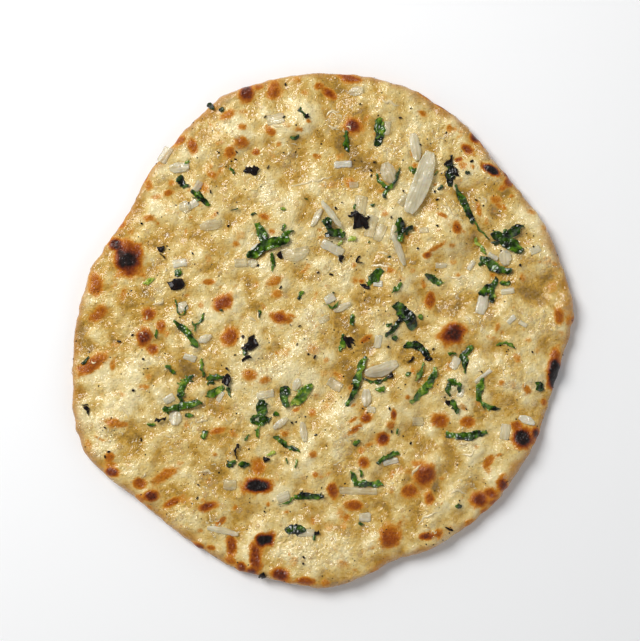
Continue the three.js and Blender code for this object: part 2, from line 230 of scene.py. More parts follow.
# Blisters and toasted spots on the sheet: x, y, width, height, turn in degrees, and how dark:
# 1 is light orange, 2 orange brown, 3 dark red brown and 4 black.
toastSpots = [
    # far left, from the big charred blister down
    (-90, 33, 11.5, 14, 15, 4), (-95.8, 39.6, 7, 6, 0, 3.5), (-104.5, 21.5, 7, 10, 5, 2.2),
    (-92, 17, 3, 7, -15, 1.3), (-103.6, 7.6, 10.5, 5.4, 40, 2.1), (-80.3, 7.6, 5.8, 5.8, 0, 2.7),
    (-74.6, 2, 4.6, 5.4, 0, 2.2), (-72, -1.5, 3, 3, 0, 1.2), (-82.5, -3, 7.2, 7.6, -20, 3.0),
    (-78.6, -8.6, 6, 5, -30, 2.4), (-106, -15.8, 14.5, 6.2, 36, 2.3), (-95, -6.5, 8, 3, 20, 0.9),
    (-82.7, -26, 5, 3, 0, 1.4), (-102, -29.3, 3, 1.6, 0, 1.0), (-95.8, -42.6, 11, 4, -10, 1.7),
    (-108.2, -52, 3, 5.4, 10, 1.1), (-103, -49.6, 7, 1.6, -25, 1.2), (-98.4, -58.4, 5.4, 4, 40, 2.0),
    (-97.3, -65, 6.8, 4.2, -10, 3.0), (-98, -62, 6, 5, 0, 1.5), (-84.5, -70.4, 6.8, 5.2, 0, 2.3),
    (-73, -66.6, 12.5, 5, 32, 1.8), (-66, -61, 3, 2, 0, 1.2), (-79, -76, 6.8, 5.2, 20, 3.2),
    (-84, -77, 5.5, 4.4, 0, 1.7), (-69.4, -79, 9.4, 3.4, 28, 2.3), (-80.5, -81, 5, 2, -35, 1.6),
    (-53.4, -80.8, 8.4, 3.8, 14, 2.8), (-40.4, -81.4, 2.4, 2.6, 0, 1.6), (-47.3, -88, 6, 3, 42, 1.9),
    (-56.7, -92, 3.4, 2.2, 0, 1.3), (-57.2, -99.4, 5.2, 3.2, -20, 2.9), (-52, -100, 4.6, 2.6, -12, 2.3),
    # near end
    (-42.3, -98.6, 4.8, 10.5, 5, 2.6), (-43, -106, 6, 3.4, -20, 2.0), (-37.6, -109, 4.4, 5.4, 10, 2.9),
    (-31.3, -104, 5.8, 14, 3, 2.8), (-33, -111, 5.4, 4, -10, 3.2), (-27.2, -96.4, 8.6, 5.4, 12, 4.2),
    (-32.6, -98.4, 3.6, 3, 30, 1.9), (-19.6, -112.2, 9, 6, -14, 3.1), (-8.4, -115, 8.6, 3.6, -5, 2.5),
    (1, -116, 5, 4, 0, 1.6), (-13.6, -106, 4, 5.4, -20, 1.0), (-20, -105.4, 3, 2, 0, 0.9),
    (9, -107, 7, 4, -20, 1.2), (14, -110, 3, 2, 0, 1.1), (24, -110.4, 4.4, 2.4, 28, 1.5),
    (-30.4, -71.4, 12, 6.8, 0, 4.2), (-30, -62.6, 6.4, 9, 0, 1.8), (-17.9, -48, 3, 2.8, 0, 1.7),
    (-4.8, -57, 3.8, 3.6, 0, 1.8), (-3.9, -66.2, 3, 3, 0, 1.8), (4, -73.5, 4.8, 6.2, 10, 2.5),
    (14, -80.3, 9, 4.8, 5, 2.4), (8, -84, 4, 6, 0, 1.1), (10.5, -86, 3.2, 3, 0, 1.7),
    (-17, -83.5, 2.6, 1.6, 0, 1.7), (14.8, -45, 8.6, 2.6, 35, 2.1), (19.6, -40.4, 5.8, 4.4, 25, 2.7),
    (13.6, -41, 5, 2, 30, 1.7), (32.3, -38.6, 2.8, 5.4, 0, 2.7), (31, -43.6, 4, 4, 0, 1.8),
    (27.5, -50, 5.8, 5.6, 30, 3.1), (21, -52.6, 5.4, 2.2, 15, 1.5), (17.4, -55, 3.6, 3, 0, 1.5),
    (18.4, -60.6, 4.8, 5, 15, 2.4), (53.4, -41.4, 7.6, 6.8, 0, 2.4), (66, -42, 6.6, 4.8, 0, 2.1),
    (46.4, -66, 9.6, 11.6, -35, 2.75), (39.6, -74, 8.8, 6, 10, 2.3), (48.8, -77, 4.4, 6.4, 0, 2.4),
    (30.4, -95, 9, 10.4, -18, 2.45), (47.4, -94.4, 8.6, 3.6, 4, 3.0), (52.6, -93.4, 4.4, 5.4, -25, 2.1),
    (75.6, -60.6, 3.8, 7.4, -35, 2.0), (54.4, -68, 3.4, 2, 10, 1.3), (71.6, -77.8, 8.4, 6.8, 10, 3.1),
    (77, -75, 7, 5, -20, 2.6), (82.3, -70.8, 5, 6.8, 0, 3.2), (78, -79, 5.4, 3, 30, 2.3),
    (74, -83, 4.4, 3, 30, 2.0), (67, -88.6, 6.4, 3, 32, 1.8), (58, -91.4, 3, 3, 0, 1.3),
    # right side
    (91.8, -49.4, 9.4, 8.8, -20, 3.9), (89, -44, 5.4, 5, -30, 2.3), (97.6, -47.4, 4.4, 5.4, 15, 3.5),
    (98.6, -52, 4, 4.4, 0, 2.0), (101.5, -43.4, 2.6, 3.4, 0, 2.1), (101.8, -33, 3.2, 4.2, 0, 2.0),
    (106.3, -19.6, 6.8, 15.6, -6, 4.1), (106.6, -11, 5, 7, 0, 2.4), (108, 6.6, 4.8, 8.4, 8, 2.2),
    (115, 5, 2, 3.4, 0, 2.2), (93.4, -27, 5, 3, -50, 1.7), (87, -25, 3, 4, 0, 1.0),
    (81.7, -24, 2.6, 3.2, 0, 1.5), (94, -4.6, 3.2, 3, 0, 1.2), (98, -9, 3.2, 3, 0, 0.9),
    (88.8, -12.6, 3, 4.4, 20, 1.4), (80, 1.4, 2.6, 5.4, -15, 1.4), (103, 32, 6, 5, 0, 0.9),
    (91.5, 24, 3, 4, 0, 1.3), (105.4, 20, 5, 6, 0, 1.0), (59.4, -1.6, 11.6, 8.8, 22, 3.45),
    (49.4, 14, 4.6, 7.4, 0, 2.4), (46, 21, 2.2, 5, 15, 1.6), (51.6, 38, 11, 2.2, 30, 1.7),
    (47.6, 34.6, 4.4, 3.2, 20, 2.4), (59, 39, 3, 2, 0, 1.3), (59.4, 31.4, 4, 3, 0, 1.0),
    (30.5, 27.8, 4.2, 3, 0, 1.7), (61.8, 25.6, 2.6, 2, 0, 1.5), (41, 27.4, 3, 2.2, 0, 1.2),
    (17.5, 22.7, 2.8, 2.2, 0, 2.0), (78, 25.5, 3.8, 1.8, 0, 1.7), (19.3, -4, 7, 2.8, 35, 2.0),
    # middle
    (-20, 6, 8, 4.8, -14, 2.7), (-15, 7, 5, 2, -20, 1.5), (-22.4, 22.6, 8.4, 4, 30, 1.6),
    (-21.4, 16.8, 5.2, 4.6, 0, 1.5), (-9.2, 27.4, 5.4, 2, 25, 1.3), (-30.7, 21, 2, 4, 0, 1.1),
    (9, 6, 2.6, 1.6, 0, 1.1), (-46.4, 12.6, 9, 6.2, 32, 2.7), (-52.7, 22.4, 6.4, 3, 0, 1.7),
    (-53, 33, 3, 5.2, 0, 1.2), (-68.5, 11.5, 2, 1.6, 0, 1.1), (-42.8, -2.6, 7.8, 8.8, -15, 2.4),
    (-34, -20.6, 7.4, 5.8, 0, 1.7), (-27, -22.6, 6, 3.6, 25, 1.5), (-4.6, -9, 6.6, 6, 0, 1.1),
    (1.4, -13.6, 3, 3, 0, 1.2), (-12.7, -36.6, 3.8, 2, 25, 1.9), (-3.4, -30, 3, 3, 0, 0.9),
    (-5, -38, 3.2, 4, 0, 1.6), (2, -20, 8, 5, 0, 0.8), (1.2, -35, 2.6, 5, 0, 0.9),
    (-48.4, -46, 7, 3, 14, 2.0), (-50, -57, 3, 2, 0, 1.3), (38.6, -30.6, 2.6, 2.6, 0, 1.6),
    # far end
    (-44.4, 99, 8.6, 4, 25, 1.8), (-37, 100.6, 5, 3, 0, 1.1), (-37.3, 93.4, 4.2, 3, 0, 1.7),
    (-37.4, 86.4, 5.8, 5.4, 0, 2.1), (-43, 81.6, 5.2, 5.8, 0, 2.1), (-47.4, 86.2, 6.4, 2.4, 12, 1.1),
    (-60, 85, 4.6, 7.6, 15, 2.2), (-66.4, 87.4, 6.4, 3.6, 38, 2.3), (-51.5, 71.6, 4.4, 3, -25, 1.7),
    (-56, 65.6, 7.4, 5, -30, 1.3), (-71.4, 63.4, 4.8, 3.2, 20, 1.9), (-76.6, 61.4, 5.4, 2.6, 10, 1.3),
    (-80.6, 67, 2.6, 6, -20, 1.7), (-82.4, 70.6, 2.6, 4.6, -32, 2.9), (-80.5, 51.7, 5.4, 3.2, -5, 1.8),
    (-93, 48.6, 4.4, 3.6, 40, 2.1), (-91, 54, 2, 3.4, -30, 2.6), (-56.8, 57.4, 2.6, 1.2, 0, 1.3),
    (-35.6, 109.4, 6.8, 8.4, -22, 3.2), (-30, 112, 5.4, 2.8, 15, 2.1), (-22.5, 110.6, 6.2, 9.6, 0, 2.1),
    (-12, 115.4, 4.4, 4, 0, 1.3), (-8.5, 109.4, 4.2, 3, 0, 1.1), (-2, 112.6, 4.2, 3.2, 0, 2.1),
    (2.6, 109.4, 6.6, 3.8, -35, 2.7), (12, 116, 10.4, 3.8, -12, 2.7), (-24, 91, 4.4, 3.6, -20, 2.1),
    (-31, 82.3, 3.8, 3.2, 0, 2.1), (13.5, 94, 6.6, 6.6, 0, 3.1), (13.4, 94, 10, 9.6, 0, 1.7),
    (-7, 96, 2.6, 1.6, -20, 1.9), (12.3, 68, 4.8, 5.2, 0, 1.6), (3, 67, 9, 5, 0, 0.9),
    (-27.5, 52.5, 4.8, 3.6, 0, 2.0), (-38.4, 43.6, 5, 4, 0, 1.0), (45.4, 100, 4.8, 2.6, -20, 1.8),
    (58, 93, 2.6, 3.8, 0, 1.7), (47, 107.6, 10, 1.8, -28, 1.9), (55, 103, 8.6, 1.7, -30, 3.3),
    (69.6, 88.4, 5.4, 3.8, -42, 3.2), (73.4, 85.2, 4, 1.6, -45, 2.3), (66.3, 83.4, 6.8, 3.8, -38, 2.7),
    (62, 78.6, 3.8, 2, 20, 2.7), (77.4, 73.6, 8.8, 4, -32, 4.2), (85.4, 68, 4.4, 5, -40, 2.5),
    (82.4, 65.6, 4.2, 2.8, 25, 1.9), (84.4, 72, 5, 1.8, -42, 2.9), (86.5, 62, 2.8, 1.8, 0, 1.5),
    (79.4, 60, 5.4, 4, 0, 1.7), (83, 56.6, 2.2, 4.2, 20, 1.5), (80.4, 57.4, 4, 2, -30, 1.6),
    (71.3, 55.6, 2.8, 6.8, 15, 1.7), (75, 50, 2.6, 4, 0, 1.2), (95.8, 54.4, 5.4, 2.4, -20, 1.3),
    (101.4, 47.4, 3.6, 3, 0, 1.1), (61.4, 47, 4.2, 5.4, 15, 2.3), (54.5, 53, 5.4, 2, -28, 1.7),
    (39, 43.4, 4, 3, 0, 1.2),
]

# Blisters that stand up more than their colour says: x, y, reach, rise in mm.
blisters = [
    (-90, 34, 9, 0.9), (60, -1, 9, 1.2), (92, -49, 8, 1.1), (47, -65, 9.5, 1.7), (14, 94, 6, 0.7),
    (50, -84, 11, 1.3), (60, -79, 9, 1.2), (78, -68, 9, 1.2), (30, -93, 10, 1.1), (65, 71, 8, 1.4),
    (-12, 96, 11, 1.1), (56, 44, 14, 1.3), (106, -18, 6, 0.9), (48.6, -76, 4.6, 0.8), (-82, -2, 6, 0.7),
    (39, -73, 6, 0.7), (-43, -2, 6, 0.7), (-105, -14, 7, 0.6), (4, -73, 4.6, 0.6), (14, -79, 6, 0.6),
    (-79, -74, 7, 0.7), (77, 73, 6, 0.5), (10, -106, 13, 0.9), (-12, -104, 9, 0.7), (-62, -86, 10, 0.8),
    (85, 6, 9, 0.6), (33, -70, 7, 0.8), (28, 101, 10, 0.9), (66, -55, 8, 0.7), (-36, 108, 5, 0.5),
    (-60, 84, 5, 0.4), (-95, -38, 12, 0.8), (-90, 8, 11, 0.6), (40, 8, 8, 0.5), (-20, 50, 10, 0.7),
    (93, -4, 9, 0.8), (88, -22, 7, 0.7), (102, 30, 8, 0.6), (-4, 30, 9, 0.6), (24, -30, 9, 0.5),
]

# Hollows where ghee gathers and the crust stays soft and golden: x, y, reach, depth in mm.
pools = [
    (-15, 76, 13, 0.7), (-33, 12, 12, 0.6), (5, 3, 13, 0.6), (-62, 47, 10, 0.6), (57, 13, 9, 0.7),
    (-5, -84, 10, 0.6), (44, -43, 8, 0.5), (-22, -10, 11, 0.5), (69, 38, 9, 0.7), (49, 60, 8, 0.5),
    (2, 96, 8, 0.3), (-85, -47, 10, 0.5), (10, -20, 11, 0.4), (-47, -34, 9, 0.4), (36, 88, 7, 0.3),
    (97, 18, 9, 0.4), (-58, 88, 7, 0.2), (60, -60, 10, 0.4), (17, 100, 8, 0.3), (-50, 40, 8, 0.4),
    (64, 64, 5, 0.4), (-12, 86, 7, 0.5), (40, 30, 7, 0.5), (-60, -20, 10, 0.4), (72, -38, 8, 0.3),
    (-72, 42, 9, 0.3), (97, -38, 8, 0.3), (-100, 8, 8, 0.3), (104, 20, 7, 0.2),
]

# Where wet bubbles crowd and catch the light: x, y, reach.
froth = [
    (-85, 3, 7), (-78, 18, 7), (-76, 12, 5), (-57, -42, 7), (5, 94, 7), (4, 65, 8), (29, 84, 8),
    (66, 20, 7), (60, 13, 6), (74, 5, 7), (73, 12, 6), (43, 11, 7), (89, -24, 9), (31, -66, 7),
    (8, -102, 13), (-6, -104, 9), (-26, -15, 9), (-5, -5, 10), (-53, -67, 8), (38, 90, 8),
    (52, 88, 9), (57, 71, 7), (62, 56, 8), (105, 29, 8), (86, -13, 9), (-103, -12, 5), (10, 30, 10),
    (-50, 80, 7), (-50, 96, 6), (33, 34, 7), (65, -50, 8), (-18, -100, 9), (-66, -86, 8), (96, 6, 9),
    (14, 100, 6), (-28, 62, 9), (0, 40, 8), (-45, 30, 8), (-75, 30, 6), (58, -30, 8), (22, 8, 9),
    (70, -70, 7), (-14, 78, 8), (-98, -46, 7), (-72, -12, 7), (-40, -40, 6), (10, -60, 9), (-62, 96, 5),
]

crust = {
    "seed": 4,
    "bubbles": 1900,          # small bubbles all over
    "bubbleSizes": (0.9, 2.6),
    "freckles": 230,          # small light toast marks
    "waver": 0.09,            # how ragged the toast marks' edges are
    "spotReach": 0.58,        # half a toasted spot, as a share of its listed size
    "spotHeat": 0.98,         # how dark a spot listed as 4 is, where 1 is charred black
    "blisterRise": 1.2,       # listed rises are multiplied by this
    "frothReach": 1.25,       # and the listed reach of froth by this
    "rolling": 0.54, "broad": 0.56, "lumpy": 0.22, "crease": 0.32,  # heights of the relief in mm
}
dice = np.random.default_rng(crust["seed"])
broad = softNoise(dice, 7.0)
rolling = softNoise(dice, 3.0)
lumpy = softNoise(dice, 1.3)
dice.standard_normal(fieldX.shape)  # not used, but the fields after it depend on the draw
tint = softNoise(dice, 10.0)
tintFine = softNoise(dice, 2.2)
raggedA = softNoise(dice, 1.1)
raggedB = softNoise(dice, 2.4)


def mound(x, y, reach):
    share = np.minimum(np.hypot(fieldX - x, fieldY - y) / reach, 1)
    return (1 - share ** 2) ** 2


crease = 1 - ease(0.0, 0.4, np.abs(softNoise(dice, 4.5)))
top = cadTop + crust["rolling"] * rolling + crust["broad"] * broad + crust["lumpy"] * lumpy
top = top - crust["crease"] * crease * ease(-1, 1, tint)
wet = np.zeros_like(top)
for x, y, reach, rise in blisters:
    top += crust["blisterRise"] * rise * mound(*onBread(x, y), reach)
for x, y, reach, depth in pools:
    sunk = mound(*onBread(x, y), reach * (1 + 0.15 * raggedB))
    top -= depth * sunk
    wet = np.maximum(wet, sunk)

toast = np.zeros_like(top)
for x, y, width, height, turn, dark in toastSpots:
    px, py = onBread(x, y)
    turned = math.radians(turn)
    right, ahead = fieldX - px, fieldY - py
    along = (right * math.cos(turned) + ahead * math.sin(turned)) / (width * crust["spotReach"])
    across = (-right * math.sin(turned) + ahead * math.cos(turned)) / (height * crust["spotReach"])
    away = np.hypot(along, across) * (1 + crust["waver"] * (raggedA + 0.6 * raggedB))
    faded = np.minimum(1, (1.35 + 0.12 * raggedB) * (1 - ease(0.0, 1.5, away)))
    toast = np.maximum(toast, crust["spotHeat"] * dark / 4 * faded)
    dome = np.clip(1 - (np.hypot(along, across) / 1.15) ** 2, 0, 1) ** 1.5
    top += (0.12 + 0.03 * min(width, height)) * dome

for _ in range(crust["freckles"]):
    angle, out = dice.uniform(0, 2 * math.pi), math.sqrt(dice.uniform(0, 0.96))
    x, y = out * math.cos(angle) * halfWidth, out * math.sin(angle) * halfLength
    size, dark = dice.uniform(0.7, 2.4), dice.uniform(0.12, 0.36)
    away = np.hypot(fieldX - x, (fieldY - y) * dice.uniform(0.7, 1.5)) / size * (1 + 0.3 * raggedA)
    toast = np.maximum(toast, dark * (1 - ease(0.3, 1.2, away)))

frothy = np.zeros_like(top)
for x, y, reach in froth:
    frothy = np.maximum(frothy, mound(*onBread(x, y), reach * crust["frothReach"]))
frothy = np.clip(frothy + 0.25 * rolling, 0, 1)

smallest, largest = crust["bubbleSizes"]
for _ in range(crust["bubbles"]):
    angle, out = dice.uniform(0, 2 * math.pi), math.sqrt(dice.uniform(0, 0.97))
    x, y = out * math.cos(angle) * halfWidth, out * math.sin(angle) * halfLength
    reach = smallest + (largest - smallest) * dice.uniform() ** 2
    rise = reach * dice.uniform(0.14, 0.36)
    column, row = int((x - gridX[0]) / grid["step"]), int((y - gridY[0]) / grid["step"])
    span = int(reach / grid["step"]) + 1
    patch = (slice(row - span, row + span + 1), slice(column - span, column + span + 1))
    share = np.minimum(np.hypot(fieldX[patch] - x, fieldY[patch] - y) / reach, 1)
    top[patch] += rise * (1 - share ** 2) ** 1.5

sunken = blurred(top, 5.0) - blurred(top, 1.5)  # above 0 in the small valleys between blisters
wetness = 0.6 * ease(0.1, 0.9, wet) + ease(0.0, 0.5, sunken) * 0.6 + 0.18 * broad + 0.1 * rolling + 0.12
wetness = np.clip(wetness, 0, 1)
golden = 0.4 + 0.1 * tint + 0.12 * tintFine + 0.2 * ease(0.0, 1.1, wet)
# deeper gold in the small valleys between blisters and along creases, paler on small bumps: partly ghee
# gathering low, partly painted shade in the valleys and creases and painted light on the bumps
golden = np.clip(golden + 0.33 * np.clip(sunken, -0.5, 0.5) + 0.1 * crease, 0, 1)
rimGold = 1 - ease(0.4, 5.2, inset + 0.9 * raggedB)
print("crust: relief and toast worked out")


def roundedTop(x, y):
    # The crust's height at a place, with the rim's rounding
    angle = np.arctan2(y - middle.y / mm, x - middle.x / mm)
    inward = rimAt(angle) - np.hypot(x - middle.x / mm, y - middle.y / mm)
    height = readGrid(top, x, y)
    slope = np.clip(1 - inward / rim["topDepth"], 0, 1)
    return height * (0.5 + 0.5 * np.sqrt(1 - slope ** 2))


# The crust's mesh: a square grid drawn out to the outline on top, rings round the rim, and a
# coarser grid underneath.
loaf = {"cells": 272, "topInset": 1.4, "rimRings": 9}


def diskGrid(cells):
    steps = np.linspace(-1, 1, cells + 1)
    u, v = np.meshgrid(steps, steps)
    share = np.maximum(np.abs(u), np.abs(v))
    sideways = np.abs(u) >= np.abs(v)
    safeU, safeV = np.where(u == 0, 1, u), np.where(v == 0, 1, v)
    angle = np.where(sideways, math.pi / 4 * v / safeU + np.where(u < 0, math.pi, 0),
                     math.pi / 2 - math.pi / 4 * u / safeV + np.where(v < 0, math.pi, 0))
    index = np.arange((cells + 1) ** 2).reshape(cells + 1, cells + 1)
    around = np.concatenate([index[cells // 2:cells, cells], index[cells, cells:0:-1],
                             index[cells:0:-1, 0],
                             index[0, 0:cells], index[0:cells // 2, cells]])
    return share.ravel(), angle.ravel(), index, around


def bottomHeight(x, y):
    # Small dimples where the dough didn't touch the oven wall
    return np.clip(0.22 * readGrid(rolling, -x, y) + 0.12 * readGrid(broad, y, x), 0, 0.8)


def makeCrustMesh():
    cells, rings = loaf["cells"], loaf["rimRings"]
    share, angle, index, around = diskGrid(cells)
    reach = share * (rimAt(angle) - loaf["topInset"])
    x, y = middle.x / mm + reach * np.cos(angle), middle.y / mm + reach * np.sin(angle)
    blocks = [np.stack([x, y, roundedTop(x, y)], 1)]
    quads = [np.stack([index[:-1, :-1], index[:-1, 1:], index[1:, 1:], index[1:, :-1]], 2).reshape(-1, 4)]
    triangles = []
    count = len(share)
    edgeAngle = angle[around]
    edgeReach = rimAt(edgeAngle)
    first = math.acos(1 - loaf["topInset"] / rim["topDepth"])
    ring = around
    for turn in np.linspace(first, -math.pi / 2, rings + 1)[1:]:
        out = edgeReach - (rim["topDepth"] if turn > 0 else rim["depth"]) * (1 - math.cos(turn))
        x, y = middle.x / mm + out * np.cos(edgeAngle), middle.y / mm + out * np.sin(edgeAngle)
        height = readGrid(top, middle.x / mm + (edgeReach - 1.0) * np.cos(edgeAngle),
                          middle.y / mm + (edgeReach - 1.0) * np.sin(edgeAngle))
        z = height * (1 + math.sin(turn)) / 2
        blocks.append(np.stack([x, y, z], 1))
        below = np.arange(count, count + len(ring))
        quads.append(np.stack([ring, below, np.roll(below, -1), np.roll(ring, -1)], 1))
        ring, count = below, count + len(ring)
    for shrink in (0.975, 0.95):
        inner = np.arange(count, count + len(ring) // 2)
        edgeAngle, edgeReach = edgeAngle[::2], edgeReach[::2]
        out = (edgeReach - rim["depth"]) * shrink
        x, y = middle.x / mm + out * np.cos(edgeAngle), middle.y / mm + out * np.sin(edgeAngle)
        blocks.append(np.stack([x, y, bottomHeight(x, y)], 1))
        even, odd, after = ring[::2], ring[1::2], np.roll(ring, -2)[::2]
        nextInner = np.roll(inner, -1)
        corners = (even, inner, odd), (odd, inner, nextInner), (odd, nextInner, after)
        triangles += [np.stack(corner, 1) for corner in corners]
        ring, count = inner, count + len(inner)
    share, angle, index, around = diskGrid(cells // 4)
    inside = share < 1
    reach = share * (rimAt(angle) - rim["depth"]) * 0.95
    x, y = middle.x / mm + reach * np.cos(angle), middle.y / mm + reach * np.sin(angle)
    place = np.full(len(share), -1)
    place[around] = ring
    place[inside] = np.arange(count, count + inside.sum())
    blocks.append(np.stack([x, y, bottomHeight(x, y)], 1)[inside])
    index = place[index]
    quads.append(np.stack([index[:-1, :-1], index[1:, :-1], index[1:, 1:], index[:-1, 1:]],
                          2).reshape(-1, 4))
    vertices = np.concatenate(blocks)
    faces = np.concatenate(quads).tolist() + np.concatenate(triangles).tolist()
    return vertices, faces


crustVertices, crustFaces = makeCrustMesh()
crustMesh = meshFrom("naan_crust", crustVertices, crustFaces)
naanCrust = newObject("naan_crust", crustMesh)

underToast = ease(0.4, 1.6, raggedB * 0.5 + rolling * 0.7 + broad * 0.5) * 0.62
vertexX, vertexY, vertexZ = crustVertices.T
onTop = ease(0.8, 3.2, vertexZ)
crustLook = {
    "toast": readGrid(toast, vertexX, vertexY) * ease(0.0, 2.5, vertexZ)
    + readGrid(underToast, vertexX, vertexY) * (1 - onTop),
    "wetness": readGrid(wetness, vertexX, vertexY) * onTop,
    "golden": readGrid(golden, vertexX, vertexY),
    "frothy": readGrid(frothy, vertexX, vertexY) * onTop,
    "rimGold": np.maximum(readGrid(rimGold, vertexX, vertexY), 0.6 * (1 - onTop)),
}
for name, values in crustLook.items():
    attribute = crustMesh.attributes.new(name, "FLOAT", "POINT")
    attribute.data.foreach_set("value", values.astype(np.float32))
print("crust: mesh of", len(crustFaces), "faces")


# Baked wheat crust: a matte, faintly see-through skin of starch, toasted where blisters met the
# oven. It gives a mottled cream that goes gold, orange, brown and black by heat.
# The ghee on it is a clear coat with sharp small glints.
def bakedWheatCrust():
    look = {
        "pale": "#F1DEA6", "cream": "#E1C47B", "gold": "#C49739", "deep": "#9A752A", "rim": "#B27A22",
        "grainSize": 1.5, "poreSize": 0.7, "pitSize": 1.3, "rippleSize": 2.8, "bubbleSize": 1.5,
        "mottleSize": 3.2,
        "filmSize": 1.4,
    }
    material, tree = newMaterial("baked_wheat_crust")
    coords = addNode(tree, "ShaderNodeTexCoord").outputs["Object"]
    read = {}
    for name in crustLook:
        read[name] = addNode(tree, "ShaderNodeAttribute", attribute_name=name).outputs["Fac"]

    def grain(size, detail=2.0, rough=0.55):
        return addNode(tree, "ShaderNodeTexNoise", {"Vector": coords, "Scale": 1 / (size * mm),
                                                    "Detail": detail, "Roughness": rough}).outputs["Fac"]

    fine = grain(look["grainSize"], 3.0, 0.65)
    coarseGrain = grain(look["mottleSize"], 4.0)
    pores = grain(look["poreSize"])
    pits = addNode(tree, "ShaderNodeMapRange",
                   {"Value": grain(look["pitSize"], 1.0), "From Min": 0.6, "From Max": 0.72},
                   interpolation_type="SMOOTHSTEP").outputs["Result"]
    goldFactor = addNode(tree, "ShaderNodeMath", {0: coarseGrain, 1: -0.5}, operation="ADD").outputs[0]
    # the golden attribute carries ghee gold plus painted shade in valleys and creases
    goldFactor = addNode(tree, "ShaderNodeMath", {0: goldFactor, 1: 0.85, 2: read["golden"]},
                         operation="MULTIPLY_ADD").outputs[0]
    grainShift = addNode(tree, "ShaderNodeMath", {0: fine, 1: -0.5}, operation="ADD").outputs[0]
    goldFactor = addNode(tree, "ShaderNodeMath", {0: grainShift, 1: 0.32, 2: goldFactor},
                         operation="MULTIPLY_ADD").outputs[0]
    goldFactor = addNode(tree, "ShaderNodeMath", {0: pits, 1: 0.09, 2: goldFactor},
                         operation="MULTIPLY_ADD").outputs[0]
    base = addNode(tree, "ShaderNodeValToRGB", {"Fac": goldFactor})
    setRamp(base, [(0.1, look["pale"]), (0.42, look["cream"]), (0.75, look["gold"]), (1.0, look["deep"])])
    # a Mix node has sockets for each data type: 0 is the factor, 6 and 7 the two colours
    rimShare = addNode(tree, "ShaderNodeMath", {0: read["rimGold"], 1: 0.92},
                       operation="MULTIPLY").outputs[0]
    rimmed = addNode(tree, "ShaderNodeMix",
                     {0: rimShare, 6: base.outputs["Color"], 7: linearColour(look["rim"])},
                     data_type="RGBA").outputs[2]

    ragged = addNode(tree, "ShaderNodeMath", {0: grainShift, 1: 0.85, 2: read["toast"]},
                     operation="MULTIPLY_ADD").outputs[0]
    ragged = addNode(tree, "ShaderNodeMath", {0: ragged, 1: read["toast"]}, operation="MULTIPLY").outputs[0]
    ragged = addNode(tree, "ShaderNodeMath", {0: ragged, 1: 0.5}, operation="POWER").outputs[0]
    heat = addNode(tree, "ShaderNodeValToRGB", {"Fac": ragged})
    setRamp(heat, [(0.0, "#DDB064"), (0.2, "#D3963C"), (0.36, "#C27A17"), (0.5, "#AA5C06"),
                   (0.64, "#8C3F02"), (0.75, "#692602"), (0.87, "#351306"), (0.97, "#120806")])
    shown = addNode(tree, "ShaderNodeMapRange", {"Value": ragged, "From Min": 0.04, "From Max": 0.36},
                    interpolation_type="SMOOTHSTEP").outputs["Result"]
    toasted = addNode(tree, "ShaderNodeMix", {0: shown, 6: rimmed, 7: heat.outputs["Color"]},
                      data_type="RGBA").outputs[2]

    bubbleScale = 1 / (look["bubbleSize"] * mm)
    bubbles = addNode(tree, "ShaderNodeTexVoronoi",
                      {"Vector": coords, "Scale": bubbleScale, "Smoothness": 0.6},
                      feature="SMOOTH_F1").outputs["Distance"]
    frothLift = addNode(tree, "ShaderNodeMath", {0: bubbles, 1: read["frothy"]},
                        operation="MULTIPLY").outputs[0]
    relief = addNode(tree, "ShaderNodeMath", {0: pores, 1: 0.5, 2: fine},
                     operation="MULTIPLY_ADD").outputs[0]
    relief = addNode(tree, "ShaderNodeMath", {0: frothLift, 1: -1.2, 2: relief},
                     operation="MULTIPLY_ADD").outputs[0]
    relief = addNode(tree, "ShaderNodeMath", {0: pits, 1: -0.35, 2: relief},
                     operation="MULTIPLY_ADD").outputs[0]
    bump = addNode(tree, "ShaderNodeBump",
                   {"Height": relief, "Strength": 0.85, "Distance": 0.9 * mm}).outputs["Normal"]
    # creases in the ghee: thin curved lines that catch the light along one side
    halfway = addNode(tree, "ShaderNodeMath", {0: grain(look["rippleSize"], 1.0), 1: -0.5},
                      operation="ADD").outputs[0]
    creases = addNode(tree, "ShaderNodeMath", {0: halfway}, operation="ABSOLUTE").outputs[0]
    ripple = addNode(tree, "ShaderNodeMath", {0: creases, 1: 3.4}, operation="MULTIPLY").outputs[0]
    wetBump = addNode(tree, "ShaderNodeMath", {0: frothLift, 1: -1.5, 2: ripple},
                      operation="MULTIPLY_ADD").outputs[0]
    wetBump = addNode(tree, "ShaderNodeMath", {0: grain(look["filmSize"], 2.0), 1: 1.5, 2: wetBump},
                      operation="MULTIPLY_ADD").outputs[0]
    coatBump = addNode(tree, "ShaderNodeBump",
                       {"Height": wetBump, "Strength": 1.0, "Distance": 0.34 * mm}).outputs["Normal"]
    coat = addNode(tree, "ShaderNodeMapRange",
                   {"Value": read["wetness"], "From Min": 0.05, "From Max": 0.6, "To Min": 0.7,
                    "To Max": 1.0}).outputs["Result"]
    coat = addNode(tree, "ShaderNodeMath", {0: coat, 1: read["frothy"]}, operation="MAXIMUM").outputs[0]
